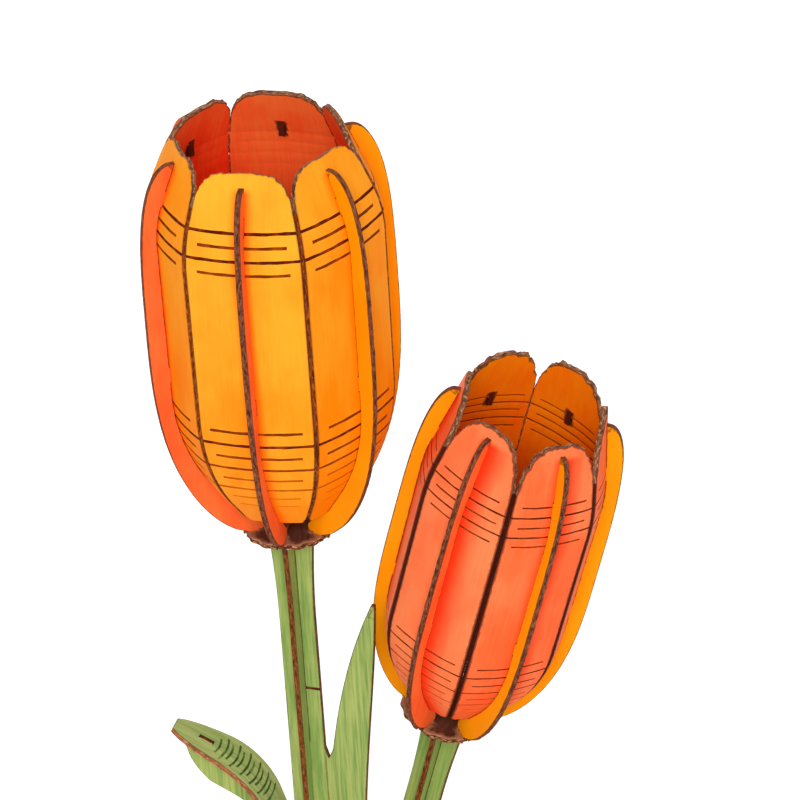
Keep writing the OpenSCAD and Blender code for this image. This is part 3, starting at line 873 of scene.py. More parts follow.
def petal_scores(head, seed, outer, run, outline):
    """Every other score line runs out to the edge, and the lowest are the faintest."""
    p = tulips().petals
    right = outline[outline[:, 0] > 0]
    right = right[np.argsort(right[:, 1])]
    spots = [(run[i], outer[i][1]) for i in range(1, len(outer) - 1)]
    if head.tip_extra:
        pitch = p.upper_pitch * head.share
        spots.append((run[-2] + pitch, outer[-2][1] + pitch))
    scores = []
    for i, (along, height) in enumerate(spots, start=1):
        half = np.interp(height, right[:, 1], right[:, 0])
        full = i in FULL_LINES
        reach = half + 0.5 * MM if full else half - p.line_inset * head.share
        left, right_end = (
            reach + (0 if full else 0.4 * MM * float(wobble(i * 2.3 + side, seed)))
            for side in (0, 5)
        )
        strength = (0.25 + 0.12 * i if i <= FAINT_LINES else 1.0) - 0.1 * (1 - full)
        scores.append(
            Score((-left, along), (right_end, along), strength, head.score, seed=seed + i)
        )
    return scores


def make_petal(node, slot, head, k, seed, shade_tone, materials, trim):
    s = tulips()
    outer = petal_line(head)
    shifts = corner_shifts(outer)
    run = lengths_along(outer)
    bow = s.petals.bow_distance * head.share

    def flat_of(points):
        return np.column_stack([points[:, 0], np.interp(points[:, 1], outer[:, 1], run)])

    def place(flat, depth):
        y = flat[:, 0]
        radius, height = bent(flat[:, 1], depth, run, outer, shifts)
        return np.column_stack([np.sqrt((radius + bow) ** 2 - y * y) - bow, y, height])

    outline = petal_outline(head, seed, trim)
    loops = [flat_of(outline)]
    play = s.sheet.end_play / 2
    for foot in tab_heights(head, outer):
        loops.append(flat_of(slot_loop(foot - play, foot + s.ribs.tab_height + play)))
    lowest, highest = run[1], run[-1] - 1.5 * s.petals.line_inset

    def walls(points):
        """The wavy top, the straight sides, and the slots."""
        y, v = np.abs(points[:, 0]), points[:, 1]
        slots = np.where(v > ratio(0.3, run[-2], run[-1]), CUT, EXTRA)
        return np.where((y < 2 * slot_half()) & (v > lowest) & (v < highest), SCORED, slots)

    scores = petal_scores(head, seed, outer, run, outline)
    make_piece(
        node, slot, petal_matrix(head, k), loops, place, s.sheet.ply, materials, scores, seed,
        shade_tone, walls=walls,
    )


def rib_outline(head):
    """Edge of a rib as (radius, height)."""
    s = tulips()
    r, ply = s.ribs, s.sheet.ply
    outer = petal_line(head)
    inner = outer + corner_shifts(outer) * ply
    foot_out, foot_in = head.disc - r.foot_inset, head.disc - s.discs.notch_length
    ledge = ratio(r.ledge_share, outer[0], inner[0])
    z_top = outer[-1][1] - r.top_inset * head.share
    belly = outer[LOWER_LINES] + np.array([r.depth, r.belly_rise]) * head.share
    points = [
        (foot_out, ply / 2),
        (foot_out, -ply / 2),
        (foot_in, -ply / 2),
        (foot_in, ply / 2),
        (foot_in - r.shoulder_length, ply / 2),
        (foot_in - r.shoulder_length, ply / 2 + r.shoulder_height),
        ledge - r.step_in,
        ledge,
        outer[0],
    ]
    start = outer[0][1]
    for foot in reversed(tab_heights(head, outer)):
        points += [q for q in outer if start < q[1] < foot]
        start = foot + r.tab_height
        tip = radius_at(inner, start) - r.tab_out
        points += [
            (radius_at(outer, foot), foot),
            (tip, foot),
            (tip, start),
            (radius_at(outer, start), start),
        ]
    end = radius_at(outer, z_top)
    points += [q for q in outer if start < q[1] < z_top] + [(end, z_top)]
    # its outer side is round above the belly, and hollow from there to its foot
    tip = end + r.tip_depth * head.share
    for part in np.linspace(1, 0, 37):
        t = math.sin(part * math.pi / 2)
        full = math.sqrt(max(0, 1 - t**3.5))
        points.append((ratio(full, tip, belly[0]), ratio(t, belly[1] + head.extra, z_top)))
    base = foot_out - r.foot_inset
    for part in np.arange(17, 0.5, -0.5) / 18:
        z = belly[1] * (1 - math.cos(part * math.pi / 2)) + ply
        full = (1 - (1 - (z - ply / 2) / belly[1]) ** 2.8) ** (1 / 1.5)
        points.append((ratio(full, base, belly[0]), z))
    return np.array([tuple(q) for q in points])


# paint
class Nodes:
    """Shader nodes of one material, world or group."""

    def __init__(self, tree):
        self.tree = tree
        tree.nodes.clear()

    def join(self, socket, value):
        if isinstance(value, bpy.types.NodeSocket):
            self.tree.links.new(value, socket)
        else:
            socket.default_value = (*value[:3], 1) if socket.type == "RGBA" else value

    def add(self, kind, settings=None, **inputs):
        """A node with its settings, and its inputs set or linked by name."""
        node = self.tree.nodes.new("ShaderNode" + kind)
        for key, value in (settings or {}).items():
            setattr(node, key, value)
        for key, value in inputs.items():
            self.join(node.inputs[key.replace("_", " ")], value)
        return node

    def math(self, operation, *values, clamp=False):
        node = self.add("Math", {"operation": operation, "use_clamp": clamp})
        for socket, value in zip(node.inputs, values):
            self.join(socket, value)
        return node.outputs[0]

    def times(self, first, second):
        return self.math("MULTIPLY", first, second)

    def blend(self, factor, first, second, kind="MIX"):
        node = self.add("Mix", {"data_type": "RGBA", "blend_type": kind})
        for index, value in ((0, factor), (6, first), (7, second)):
            self.join(node.inputs[index], value)
        return node.outputs[2]

    def spread(self, value, low, high, to_low=0.0, to_high=1.0):
        node = self.add("MapRange", {"interpolation_type": "SMOOTHSTEP"}, Value=value)
        for socket, number in zip(node.inputs[1:5], (low, high, to_low, to_high)):
            self.join(socket, number)
        return node.outputs[0]

    def sheet_parts(self):
        """Across, along and edge distance of a face, and tone and seed of its piece."""
        parts = []
        for name in ("sheet", "piece"):
            vector = self.add("Attribute", {"attribute_name": name}).outputs["Vector"]
            parts += self.add("SeparateXYZ", Vector=vector).outputs[:3]
        return parts[:5]

    def grain(self, across, along, seed, across_scale, along_scale, detail=3.0):
        """Noise in the plane of the sheet, in features a metre each way."""
        shifted = self.math("ADD", along, seed)
        spot = self.add(
            "CombineXYZ",
            X=self.times(across, across_scale),
            Y=self.times(shifted, along_scale),
            Z=self.times(seed, 97.0),
        )
        noise = self.add(
            "TexNoise", Vector=spot.outputs[0], Scale=1.0, Detail=detail, Roughness=0.55
        )
        return noise.outputs["Fac"]

    def seen(self):
        """1 for what the camera sees, also in gloss and through clear things."""
        path = self.add("LightPath").outputs
        seen = self.math("MAXIMUM", path["Is Camera Ray"], path["Is Glossy Ray"])
        return self.math("MAXIMUM", seen, path["Is Transmission Ray"])


def add_sockets(group, in_out, values):
    """Named sockets of a group; a colour's value is a tuple or goes by the name Color."""
    for key, value in values.items():
        kind = "Color" if isinstance(value, tuple) or key == "Color" else "Float"
        socket = group.interface.new_socket(
            name=key.replace("_", " "), in_out=in_out, socket_type="NodeSocket" + kind
        )
        if in_out == "INPUT":
            socket.default_value = (*value, 1) if kind == "Color" else value


def shader_group(name, **defaults):
    """Turns a function that makes nodes into one that places them as a group.

    The group is built the first time it is placed. Its inputs are the named defaults, and
    its outputs what the function returns.
    """

    def decorate(make):
        def place(nodes, **values):
            group = bpy.data.node_groups.get(name)
            if group is None:
                group = bpy.data.node_groups.new(name, "ShaderNodeTree")
                inner = Nodes(group)
                add_sockets(group, "INPUT", defaults)
                made = make(inner, group.nodes.new("NodeGroupInput").outputs)
                add_sockets(group, "OUTPUT", made)
                out = group.nodes.new("NodeGroupOutput")
                for key, value in made.items():
                    inner.join(out.inputs[key], value)
            return nodes.add("Group", {"node_tree": group}, **values).outputs

        return place

    return decorate


@shader_group("Brushed paint", Paint=GREY, Deep=GREY, Patch=0.35, Streak=0.15, Rise=0.0)
def brushed_paint(nodes, given):
    """Thin brushed paint over wood: soft patches, streaks along the grain, specks."""
    across, along, _, shade_tone, seed = nodes.sheet_parts()
    patch = nodes.spread(nodes.grain(across, along, seed, 90, 45), 0.35, 0.7)
    streak = nodes.spread(nodes.grain(across, along, seed, 1500, 60, 4), 0.35, 0.7)
    speck = nodes.grain(across, along, seed, 2600, 2600, 2)
    amount = nodes.times(patch, given["Patch"])
    amount = nodes.math("MULTIPLY_ADD", streak, given["Streak"], amount)
    # the piece's own amount deepens its paint; on the petals this is painted shade, more on those
    # turned away from the front
    amount = nodes.math("ADD", amount, shade_tone)
    lift = nodes.times(along, given["Rise"])
    amount = nodes.math("SUBTRACT", amount, lift, clamp=True)
    colour = nodes.blend(amount, given["Paint"], given["Deep"])
    dust = nodes.spread(speck, 0.62, 0.78, 0.0, 0.22)
    pale = nodes.blend(1.0, colour, (0.82, 0.82, 0.8), "MULTIPLY")
    return {
        "Color": nodes.blend(dust, colour, pale),
        "Roughness": nodes.math("MULTIPLY_ADD", streak, 0.12, 0.5),
        "Height": nodes.math("MULTIPLY_ADD", speck, 0.35, streak),
    }


@shader_group(
    "Beside the rib", Color=GREY, Left_paint=(0.5, 0.2, 0.1), Left_width=0.003,
    Right_paint=(0.5, 0.2, 0.1), Right_width=0.005, Top=0.1, Strength=0.8,
)
def rib_shade_and_reflection(nodes, given):
    """Painted shade and reflection: deeper paint on both sides of a rib, on the middle line of a
    petal.
    """
    across, along, _, _, seed = nodes.sheet_parts()
    uneven = nodes.spread(nodes.grain(across, along, seed, 160, 40), 0.2, 0.8, 0.75, 1.1)
    below = nodes.spread(nodes.math("SUBTRACT", along, given["Top"]), -0.002, 0.0, 1.0, 0.0)
    strength = nodes.times(below, given["Strength"])
    colour = given["Color"]
    for side, sign in (("Left", -1.0), ("Right", 1.0)):
        away = nodes.times(across, sign)
        width = nodes.times(given[side + " width"], uneven)
        fade = nodes.spread(away, 0.6 * MM, width, 1.0, 0.0)
        near = nodes.math("GREATER_THAN", away, 0.0)
        mask = nodes.times(nodes.times(fade, near), strength)
        colour = nodes.blend(mask, colour, given[side + " paint"])
    return {"Color": colour}


@shader_group("Burnt rim", Color=GREY, Scorch=(0.1, 0.05, 0.03), Width=0.0006, Strength=0.85)
def burnt_rim(nodes, given):
    """Scorch that fades from the edge of a face into its paint."""
    across, along, rim, _, seed = nodes.sheet_parts()
    uneven = nodes.spread(nodes.grain(across, along, seed, 900, 500), 0.3, 0.7, 0.55, 1.35)
    width = nodes.times(given["Width"], uneven)
    mask = nodes.times(nodes.spread(rim, 0.1 * MM, width, 1.0, 0.0), given["Strength"])
    return {"Color": nodes.blend(mask, given["Color"], given["Scorch"])}


@shader_group(
    "Burnt edge", Char=(0.05, 0.02, 0.01), Toast=(0.2, 0.1, 0.05), Tan=(0.5, 0.3, 0.2),
    Pale_flecks=0.3,
)
def burnt_edge(nodes, given):
    """Laser-burnt edge: dark glue lines between veneers, toasted fibres, pale flecks."""
    arc, depth, _, _, seed = nodes.sheet_parts()
    soot = nodes.grain(arc, depth, seed, 420, 1500, 4)
    fibre = nodes.grain(arc, depth, seed, 1300, 300, 4)
    fleck = nodes.grain(arc, depth, seed, 700, 2400, 3)
    colour = nodes.blend(nodes.spread(soot, 0.36, 0.62), given["Char"], given["Toast"])
    shown = nodes.times(nodes.spread(fleck, 0.5, 0.66), given["Pale flecks"])
    colour = nodes.blend(shown, colour, given["Tan"])
    dark = nodes.spread(fibre, 0.56, 0.7, 0.0, 0.55)
    return {
        "Color": nodes.blend(dark, colour, given["Char"]),
        "Roughness": nodes.spread(soot, 0.3, 0.7, 0.62, 0.85),
        "Height": nodes.math("ADD", soot, fibre),
    }


@shader_group("Engraved line", Paint=GREY, Dark=(0.1, 0.05, 0.03), Light=(0.3, 0.1, 0.05))
def engraved_line(nodes, given):
    """Burnt bottom of an engraved line, lighter here and there and where it is weak."""
    across, along, strength, _, seed = nodes.sheet_parts()
    noise = nodes.grain(across, along, seed, 420, 700, 3)
    burnt = nodes.blend(nodes.spread(noise, 0.45, 0.68), given["Dark"], given["Light"])
    return {
        "Color": nodes.blend(strength, given["Paint"], burnt),
        "Roughness": nodes.spread(noise, 0.3, 0.7, 0.6, 0.8),
        "Height": noise,
    }


def new_material(name, look, relief, bump, specular):
    """Material around one Principled shader, whose constants are on its own sockets."""
    material = bpy.data.materials.new(name)
    material.use_nodes = True
    nodes = Nodes(material.node_tree)
    colour, rough, height = look(nodes)
    normal = nodes.add("Bump", Strength=bump, Distance=relief, Height=height).outputs[0]
    shader = nodes.add(
        "BsdfPrincipled", Base_Color=colour, Roughness=rough, Specular_IOR_Level=specular,
        Normal=normal,
    )
    nodes.add("OutputMaterial", Surface=shader.outputs[0])
    return material


def painted_material(name, coat, deep, patch=0.35, streak=0.15, rise=0.0, glow=None,
                     rim=0.3 * MM, scorch=None, bump=0.25, burn=0.85):
    """Brushed paint with a scorched rim, and painted shade and reflection beside the ribs."""
    scorch = scorch or tulips().paints.char

    def look(nodes):
        base = brushed_paint(
            nodes, Paint=coat, Deep=deep, Patch=patch, Streak=streak, Rise=rise
        )
        colour = base["Color"]
        if glow:
            colour = rib_shade_and_reflection(nodes, Color=colour, **glow)["Color"]
        rimmed = burnt_rim(nodes, Color=colour, Scorch=scorch, Width=rim, Strength=burn)
        return rimmed["Color"], base["Roughness"], base["Height"]

    return new_material(name, look, relief=0.06 * MM, bump=bump, specular=0.05)


def edge_material(name, flecks, char=None, toast=None, tan=None):
    """Cut edge, burnt by the laser."""
    p = tulips().paints

    def look(nodes):
        return burnt_edge(
            nodes, Char=char or p.char, Toast=toast or p.toast, Tan=tan or p.tan,
            Pale_flecks=flecks,
        )

    return new_material(name, look, relief=0.1 * MM, bump=0.5, specular=0.08)


def scored_material(name, coat, dark, light):
    """Inside of an engraved line."""

    def look(nodes):
        return engraved_line(nodes, Paint=coat, Dark=dark, Light=light).values()

    return new_material(name, look, relief=0.05 * MM, bump=0.3, specular=0.05)


# operators
class TULIP_OT_stage(Operator):
    """Floor, lamps and camera"""

    bl_idname = "tulip.stage"
    bl_label = "Stage"

    def execute(self, context):
        scene = context.scene
        self.add_object("floor", self.floor(scene.tulips.paints.floor))
        scene.world = bpy.data.worlds.new("soft room")
        scene.world.use_nodes = True
        nodes = Nodes(scene.world.node_tree)
        # white where it is seen, and softer as a light
        strength = nodes.math("MULTIPLY_ADD", nodes.seen(), 1 - ROOM_LIGHT, ROOM_LIGHT)
        room = nodes.add("Background", Color=(1, 1, 1), Strength=strength)
        nodes.add("OutputWorld", Surface=room.outputs[0])
        for name, strength, spread, towards in (
            ("key lamp", 2.05, 30, (0.06, 0.85, -0.54)),
            ("fill lamp", 0.35, 60, (-0.75, 0.6, -0.2)),
            ("back lamp", 1.25, 60, (0.3, -0.85, -0.4)),
        ):
            lamp = bpy.data.lights.new(name, "SUN")
            lamp.energy = strength
            lamp.angle = math.radians(spread)
            holder = self.add_object(name, lamp)
            holder.rotation_mode = "QUATERNION"
            holder.rotation_quaternion = Vector(towards).to_track_quat("-Z", "Y")
        # a long lens from above, turned a little about its line of sight
        v = scene.tulips.view
        turn = Matrix.Rotation(math.pi / 2 - v.height_angle, 4, "X") @ about_z(v.roll)
        aim = Vector((0, 0, v.aim_height)) + turn @ Vector((v.aim_right, v.aim_up, v.distance))
        camera = bpy.data.cameras.new("camera")
        camera.sensor_width = 36
        camera.lens = v.lens
        camera.clip_end = 20
        scene.camera = self.add_object("camera", camera)
        scene.camera.matrix_world = Matrix.Translation(aim) @ turn
        scene.view_settings.view_transform = "Standard"
        return {"FINISHED"}

    @staticmethod
    def add_object(name, data):
        made = bpy.data.objects.new(name, data)
        bpy.context.scene.collection.objects.link(made)
        return made

    @staticmethod
    def floor(colour, reach=3.0):
        """Matt floor that the camera sees a little brighter."""
        mesh = bpy.data.meshes.new("floor")
        corners = [(x * reach, y * reach, 0) for x, y in ((-1, -1), (1, -1), (1, 1), (-1, 1))]
        mesh.from_pydata(corners, [], [(0, 1, 2, 3)])
        material = bpy.data.materials.new("pale floor")
        material.use_nodes = True
        nodes = Nodes(material.node_tree)
        lift = nodes.add("MixShader", Fac=nodes.seen())
        both = nodes.add("AddShader")
        for socket, kind, shade, strength in (
            (lift.inputs[1], "Emission", (0, 0, 0), {"Strength": 0.0}),
            (lift.inputs[2], "Emission", (1, 1, 1), {"Strength": FLOOR_LIFT}),
            (both.inputs[0], "BsdfDiffuse", colour, {}),
        ):
            nodes.join(socket, nodes.add(kind, Color=shade, **strength).outputs[0])
        nodes.join(both.inputs[1], lift.outputs[0])
        nodes.add("OutputMaterial", Surface=both.outputs[0])
        mesh.materials.append(material)
        return mesh


class TULIP_OT_petals(Operator):
    """Twelve bent petals with score lines and wavy burnt edges"""

    bl_idname = "tulip.petals"
    bl_label = "Petals"

    def execute(self, context):
        s = context.scene.tulips
        p = s.paints
        edge = edge_material("petal edge", 0.75, p.edge_char, p.edge_toast, p.edge_tan)
        sides = (
            edge_material("tall petal side", 0.5, p.tall_side_char, p.tall_side, p.tall_deep),
            # the short petals' sides are darker than their tops: burnt cut, and painted shade for the
            # gaps between the petals
            edge_material("short petal side", 0.2, p.char, p.score, p.toast),
        )
        looks = (self.tall_looks(p), self.short_looks(p))
        # painted shade: the petals turned away from the front get deeper paint
        shade_tones = ((0.62, 0.95, 1.2, 1.1, 1.4, 0.9), (0.27, 0.5, 0.6, 0.8, 0.8, 0.36))
        slots = ("yellow_petal_wood", "red_petal_wood")
        for number in (1, 2):
            head = head_of(number)
            front, back, scored, back_scored = looks[number - 1]
            materials = (front, back, edge, scored, back_scored, sides[number - 1])
            for k in range(PETALS):
                node = f"petal_{number}_{k + 1}"
                # the last petal of the short tulip is pulled past the flat leaf's tip
                trim = s.petals.leaf_trim if (number, k) == (2, PETALS - 1) else 0.0
                shade_tone = shade_tones[number - 1][k]
                seed = number * 10 + k
                make_petal(node, slots[number - 1], head, k, seed, shade_tone, materials, trim)
        return {"FINISHED"}

    @staticmethod
    def glow(number, left, left_mm, right, right_mm, strength):
        """Painted shade and reflection beside a rib, up to the rib's upper end."""
        head = head_of(number)
        top = lengths_along(petal_line(head))[-1] - tulips().ribs.top_inset * head.share
        return {
            "Left_paint": left, "Left_width": left_mm * MM,
            "Right_paint": right, "Right_width": right_mm * MM,
            "Top": top, "Strength": strength,
        }

    def tall_looks(self, p):
        # beside the ribs: painted shade, and on their right the ribs' painted reflection
        glow = self.glow(1, p.tall_deep, 3.6, p.tall_shading, 3.4, 0.9)
        # its lines hardly show inside, so they keep the inside paint there
        inner = painted_material(
            "tall petal inside", p.tall_inside, p.tall_inside_deep, rise=9, rim=0.45 * MM
        )
        outer = painted_material(
            "tall petal outside", p.tall_outside, p.tall_deep, 0.3, 0.1, 5, glow, burn=0.3
        )
        scored = scored_material("tall petal score", p.tall_deep, p.score, p.score_light)
        return outer, inner, scored, inner

    def short_looks(self, p):
        # beside the ribs: painted shade, and on their right the ribs' painted reflection
        glow = self.glow(2, p.short_deep, 3, p.short_shading, 8.5, 1.0)
        return (
            painted_material(
                "short petal outside", p.short_outside, p.short_deep, 0.35, 0.12, 1.0, glow,
                rim=0.6 * MM, burn=0.8,
            ),
            painted_material(
                "short petal inside", p.short_inside, p.short_inside_deep, rise=6, rim=0.45 * MM
            ),
            scored_material("short petal score", p.short_deep, p.score, p.score_light),
            scored_material("short inside score", p.short_inside, p.score_light, p.score),
        )


class TULIP_OT_ribs(Operator):
    """Twelve curved ribs that stand outside the petals"""

    bl_idname = "tulip.ribs"
    bl_label = "Ribs"

    def execute(self, context):
        s = context.scene.tulips
        p, ply = s.paints, s.sheet.ply
        edge = edge_material("rib edge", 0.3)
        charred = edge_material("charred end", 0.0, toast=p.score)
        red = painted_material("red rib", p.rib_red, p.rib_red_deep, patch=0.6)
        faces = [
            painted_material(name, coat, deep, patch=0.5, streak=0.12)
            for name, coat, deep in (
                ("orange rib", p.rib_orange, p.rib_orange_deep),
                ("yellow rib", p.rib_yellow, p.rib_yellow_deep),
            )
        ]
        for number in (1, 2):
            head = head_of(number)
            line = petal_line(head)
            line = line + corner_shifts(line) * ply * CHARRED_FROM
            for k in range(PETALS):
                node = f"rib_{number}_{k + 1}"
                # the front is red, except on the short tulip's last rib
                pair = (red, faces[number - 1])
                if (number, k) == (2, PETALS - 1):
                    pair = pair[::-1]
                make_piece(
                    node, "rib_wood", petal_matrix(head, k), [rib_outline(head)],
                    flat_place(ply), ply, (*pair, edge, charred),
                    seed=number * 10 + k + SEEDS["rib"],
                    look=lambda spots, side: np.where(self.on_tab(spots, line), SCORED, side),
                    walls=lambda spots: np.where(self.on_tab(spots, line), SCORED, CUT),
                )
        return {"FINISHED"}

    @staticmethod
    def on_tab(points, line):
        """True at the charred ends of the tabs, inside the petal."""
        above = points[:, 1] > line[0][1] + tulips().ribs.tab_height
        return above & (points[:, 0] < radius_at(line, points[:, 1]))


class TULIP_OT_discs(Operator):
    """Sepal discs with wavy edges and notches, and the collar discs below them"""

    bl_idname = "tulip.discs"
    bl_label = "Discs"

    def execute(self, context):
        s = context.scene.tulips
        p, ply = s.paints, s.sheet.ply
        stain = painted_material(
            "disc stain", p.disc, p.disc_deep, 0.7, 0.5, rim=1.6 * MM, scorch=p.disc_rim, bump=0.4
        )
        pale = painted_material("collar stain", p.collar, p.toast, 0.6, 0.5, bump=0.4)
        edge = edge_material("disc edge", 0.9, tan=p.edge_tan)
        for number in (1, 2):
            head = head_of(number)
            tenon = cross_loop(s.stems.tenon_width, head.stem_turn)
            turn = full_turn(DISC_WAVES * DISC_WAVE_POINTS)
            wave = s.discs.wave * np.sin(DISC_WAVES * turn + DISC_WAVES * DISC_WAVE_SHIFT)
            uneven = DISC_UNEVENNESS * wobble(turn * 9, number)
            wavy = circle(head.disc + wave + uneven, turn)
            plain = circle(s.discs.collar_radius, full_turn(COLLAR_POINTS))
            for kind, outline, top, finish in (
                ("sepal_disc", self.notched(wavy, head), ply / 2, stain),
                ("collar_disc", plain, -ply / 2, pale),
            ):
                make_piece(
                    f"{kind}_{number}", "disc_wood", head.matrix, [outline, tenon],
                    level_place(top), ply, (finish, finish, edge), seed=SEEDS[kind] + number,
                )
        return {"FINISHED"}

    @staticmethod
    def notched(wavy, head):
        """The wavy edge with a notch for each rib's foot."""
        s = tulips()
        half = slot_half()
        deep = head.disc - s.discs.notch_length - s.sheet.notch_play
        edge = math.sqrt(head.disc**2 - half**2)
        ways = []
        for k in range(PETALS):
            turn = petal_turn(head, k)
            ahead = np.array([math.cos(turn), math.sin(turn)])
            ways.append((ahead, np.array([-ahead[1], ahead[0]])))
        free = [
            not any(point @ ahead > 0 and abs(point @ side) < half for ahead, side in ways)
            for point in wavy
        ]
        start = next(i for i in range(len(wavy)) if free[i] and not free[i - 1])
        loop = []
        for i in range(len(wavy)):
            at = (start + i) % len(wavy)
            if free[at]:
                loop.append(wavy[at])
            elif free[at - 1]:
                ahead, side = max(ways, key=lambda pair: loop[-1] @ pair[0])
                first = side * half * (-1 if loop[-1] @ side < 0 else 1)
                for reach, shift in ((edge, first), (deep, first), (deep, -first), (edge, -first)):
                    loop.append(ahead * reach + shift)
        return np.array(loop)


def cross_loop(width, turn):
    """Closed line of two crossed slots for planks of that width."""
    a, b = (width + tulips().sheet.play) / 2, slot_half()
    points = []
    for k in range(4):
        c, d = math.cos(turn + k * math.pi / 2), math.sin(turn + k * math.pi / 2)
        points += [(x * c - y * d, x * d + y * c) for x, y in ((a, -b), (a, b), (b, b))]
    return np.array(points)


def plank_outline(foot):
    """A stem's plank as (across, height), heights measured from its sepal disc."""
    s = tulips()
    w, ply = s.stems, s.sheet.ply
    under = -1.5 * ply
    flare = [
        (ratio(part * part, w.width, w.head_width) / 2, under - w.flare * (1 - part))
        for part in np.linspace(0, 1, 13)
    ]
    half = w.tenon_width / 2
    top = ply / 2 + w.tenon_out
    return both_sides([(w.width / 2, -foot), *flare, (half, under), (half, top)])


def lapped(outline, level, above):
    """The plank with the slot of its half lap, open at its top or at its foot."""
    half = slot_half()
    end = outline[:, 1].max() if above else outline[:, 1].min()
    notch = [(half, end), (half, level), (-half, level), (-half, end)]
    points = [tuple(p) for p in outline]
    middle = len(points) // 2
    if above:
        return np.array(points[:middle] + notch + points[middle:])
    return np.array(points + notch[::-1])


class TULIP_OT_stems(Operator):
    """Crossed planks of both stems, with the flat leaf and the bent leaf's keel"""

    bl_idname = "tulip.stems"
    bl_label = "Stems"

    def execute(self, context):
        s = context.scene.tulips
        p = s.paints
        rim = 0.25 * MM
        self.edge = edge_material("stem edge", 0.35, p.stem_char, p.stem_toast, p.stem_tan)
        self.green = painted_material("stem green", p.stem, p.stem_deep, 0.5, 0.75, rim=rim)
        # a darker copy of the stem green: on the tall stem's cross plank it is painted shade beside
        # the leaf plank
        self.deep = painted_material("stem deep green", p.stem_deep, p.stem, 0.4, 0.5, rim=rim)
        self.leaf = painted_material("flat leaf green", p.leaf, p.leaf_deep, 0.2, 0.85, rim=rim)
        self.scored = scored_material("stem score", p.stem, p.char, p.toast)
        self.tall(s, s.sheet.ply)
        self.short(s, s.sheet.ply)
        return {"FINISHED"}

    def tall(self, s, ply):
        height = s.heads.tall_height
        level = height * s.stems.lap_share
        outline = plank_outline(height - s.stand.plate) + (0, height)
        leaf = flat_leaf_outline()
        half = s.stems.width / 2
        shapes = [
            lapped(outline, level, True), leaf, keel_outline() * (-1, 1), leaf_web(leaf, half)
        ]
        line_z = s.stems.line_height
        scores = [
            Score((0.9 * MM, line_z), (half + 0.4 * MM, line_z)),
            Score((half, 22 * MM), (half, s.stems.divider_top), 0.6, 0.6),
        ]
        face = bent_line()
        tab_middle = face[-1][0] - s.leaves.tab_inset

        def on_tab(points):
            """True for the charred tab that holds the bent leaf."""
            away = -points[:, 0]
            near = np.abs(away - tab_middle) < s.leaves.tab_length * 0.6
            return near & (points[:, 1] > np.interp(away, face[:, 0], face[:, 1]) + 0.1 * MM)

        def plain(middle, side):
            """A plank's sides, with the tenon as dark as the cut edge."""
            return np.where(middle[:, 1] > height - ply / 2, CUT, side)

        def look(middle, side):
            on_leaf = (middle[:, 0] > half - 0.2 * MM) & (middle[:, 1] < s.leaves.tip_height)
            slots = np.where(on_leaf, EXTRA, plain(middle, side))
            return np.where(on_tab(middle), SCORED, slots)

        make_piece(
            "stem_1_leaf_plank", "green_wood", about_z(s.stems.tall_turn),
            sorted(united(shapes), key=len, reverse=True), flat_place(ply), ply,
            (self.green, self.green, self.edge, self.scored, self.scored, self.leaf),
            scores, SEEDS["stem"], look=look, walls=lambda spots: np.where(on_tab(spots), SCORED, CUT),
            name="leaf_plank",
        )
        # the cross plank takes the darker green, which is painted shade
        make_piece(
            "stem_1_cross_plank", "green_wood", about_z(s.stems.tall_turn + math.pi / 2),
            [lapped(outline, level, False)], flat_place(ply), ply,
            (self.deep, self.deep, self.edge), seed=SEEDS["stem"] + 1, look=plain, name="cross_plank",
        )

    def short(self, s, ply):
        head = head_of(2)
        size = (s.heads.short_height - s.stand.plate) / math.cos(s.heads.lean)
        outline = plank_outline(size + s.stems.width)
        for name, node, above, turn in (
            ("short_plank", "stem_2_plank", True, 0.0),
            ("short_cross_plank", "stem_2_cross_plank", False, math.pi / 2),
        ):
            make_piece(
                node, "green_wood", head.matrix @ about_z(head.stem_turn + turn),
                [lapped(outline, -size * s.stems.lap_share, above)], flat_place(ply), ply,
                (self.green, self.deep, self.edge), seed=SEEDS["stem"] + 2 + above,
                look=lambda middle, side: np.where(middle[:, 1] > -ply / 2, CUT, side),
                name=name, foot=s.stand.plate,
            )


def flat_leaf_outline():
    """Flat leaf as (across, height)."""
    f = tulips().leaves
    right, left = [], []
    for part in np.linspace(0, 1, 41):
        x = ratio(part * part, f.foot_reach, f.tip_reach)
        z = ratio(part, f.foot_height, f.tip_height)
        round_foot = math.sqrt(1 - (1 - part / 0.22) ** 2) if part < 0.22 else 1
        half = f.tip_half_width + (f.half_width - f.tip_half_width) * (1 - part**4.5) * round_foot
        right.append((x + half, z))
        left.append((x - half, z))
    return np.array([*right, (f.tip_reach, f.tip_height), *left[::-1]])


def leaf_web(leaf, half):
    """Sheet that joins the flat leaf to the stem up to the divider's top."""
    s = tulips()
    edge = leaf[len(leaf) // 2 + 1:][::-1]
    inner = half - s.sheet.ply / 2
    notch, foot = s.stems.divider_top, 2 * s.leaves.foot_height
    top = notch + 2 * s.sheet.ply

    def leaf_x(z):
        return np.interp(z, edge[:, 1], edge[:, 0])

    points = [(inner, foot), (inner, top), (half, top), ((half + leaf_x(notch)) / 2, notch)]
    for z in np.linspace(top, foot, 9):
        points.append((leaf_x(z) + (0 if z == top else s.sheet.ply / 2), z))
    return np.array(points)


def bent_lean(i):
    f = tulips().leaves
    return ratio(i / BENT_LINES, f.bent_foot_lean, f.bent_tip_lean)


def bent_line():
    """Lower face of the bent leaf as (distance, height)."""
    f = tulips().leaves
    sizes = [f.bent_foot] + [f.bent_pitch] * (BENT_LINES - 1) + [f.bent_tip]
    # the last step leaves at the tip's lean
    steps = [(size, bent_lean(i)) for i, size in enumerate(sizes)]
    return walk((f.bent_reach, f.bent_height), steps)


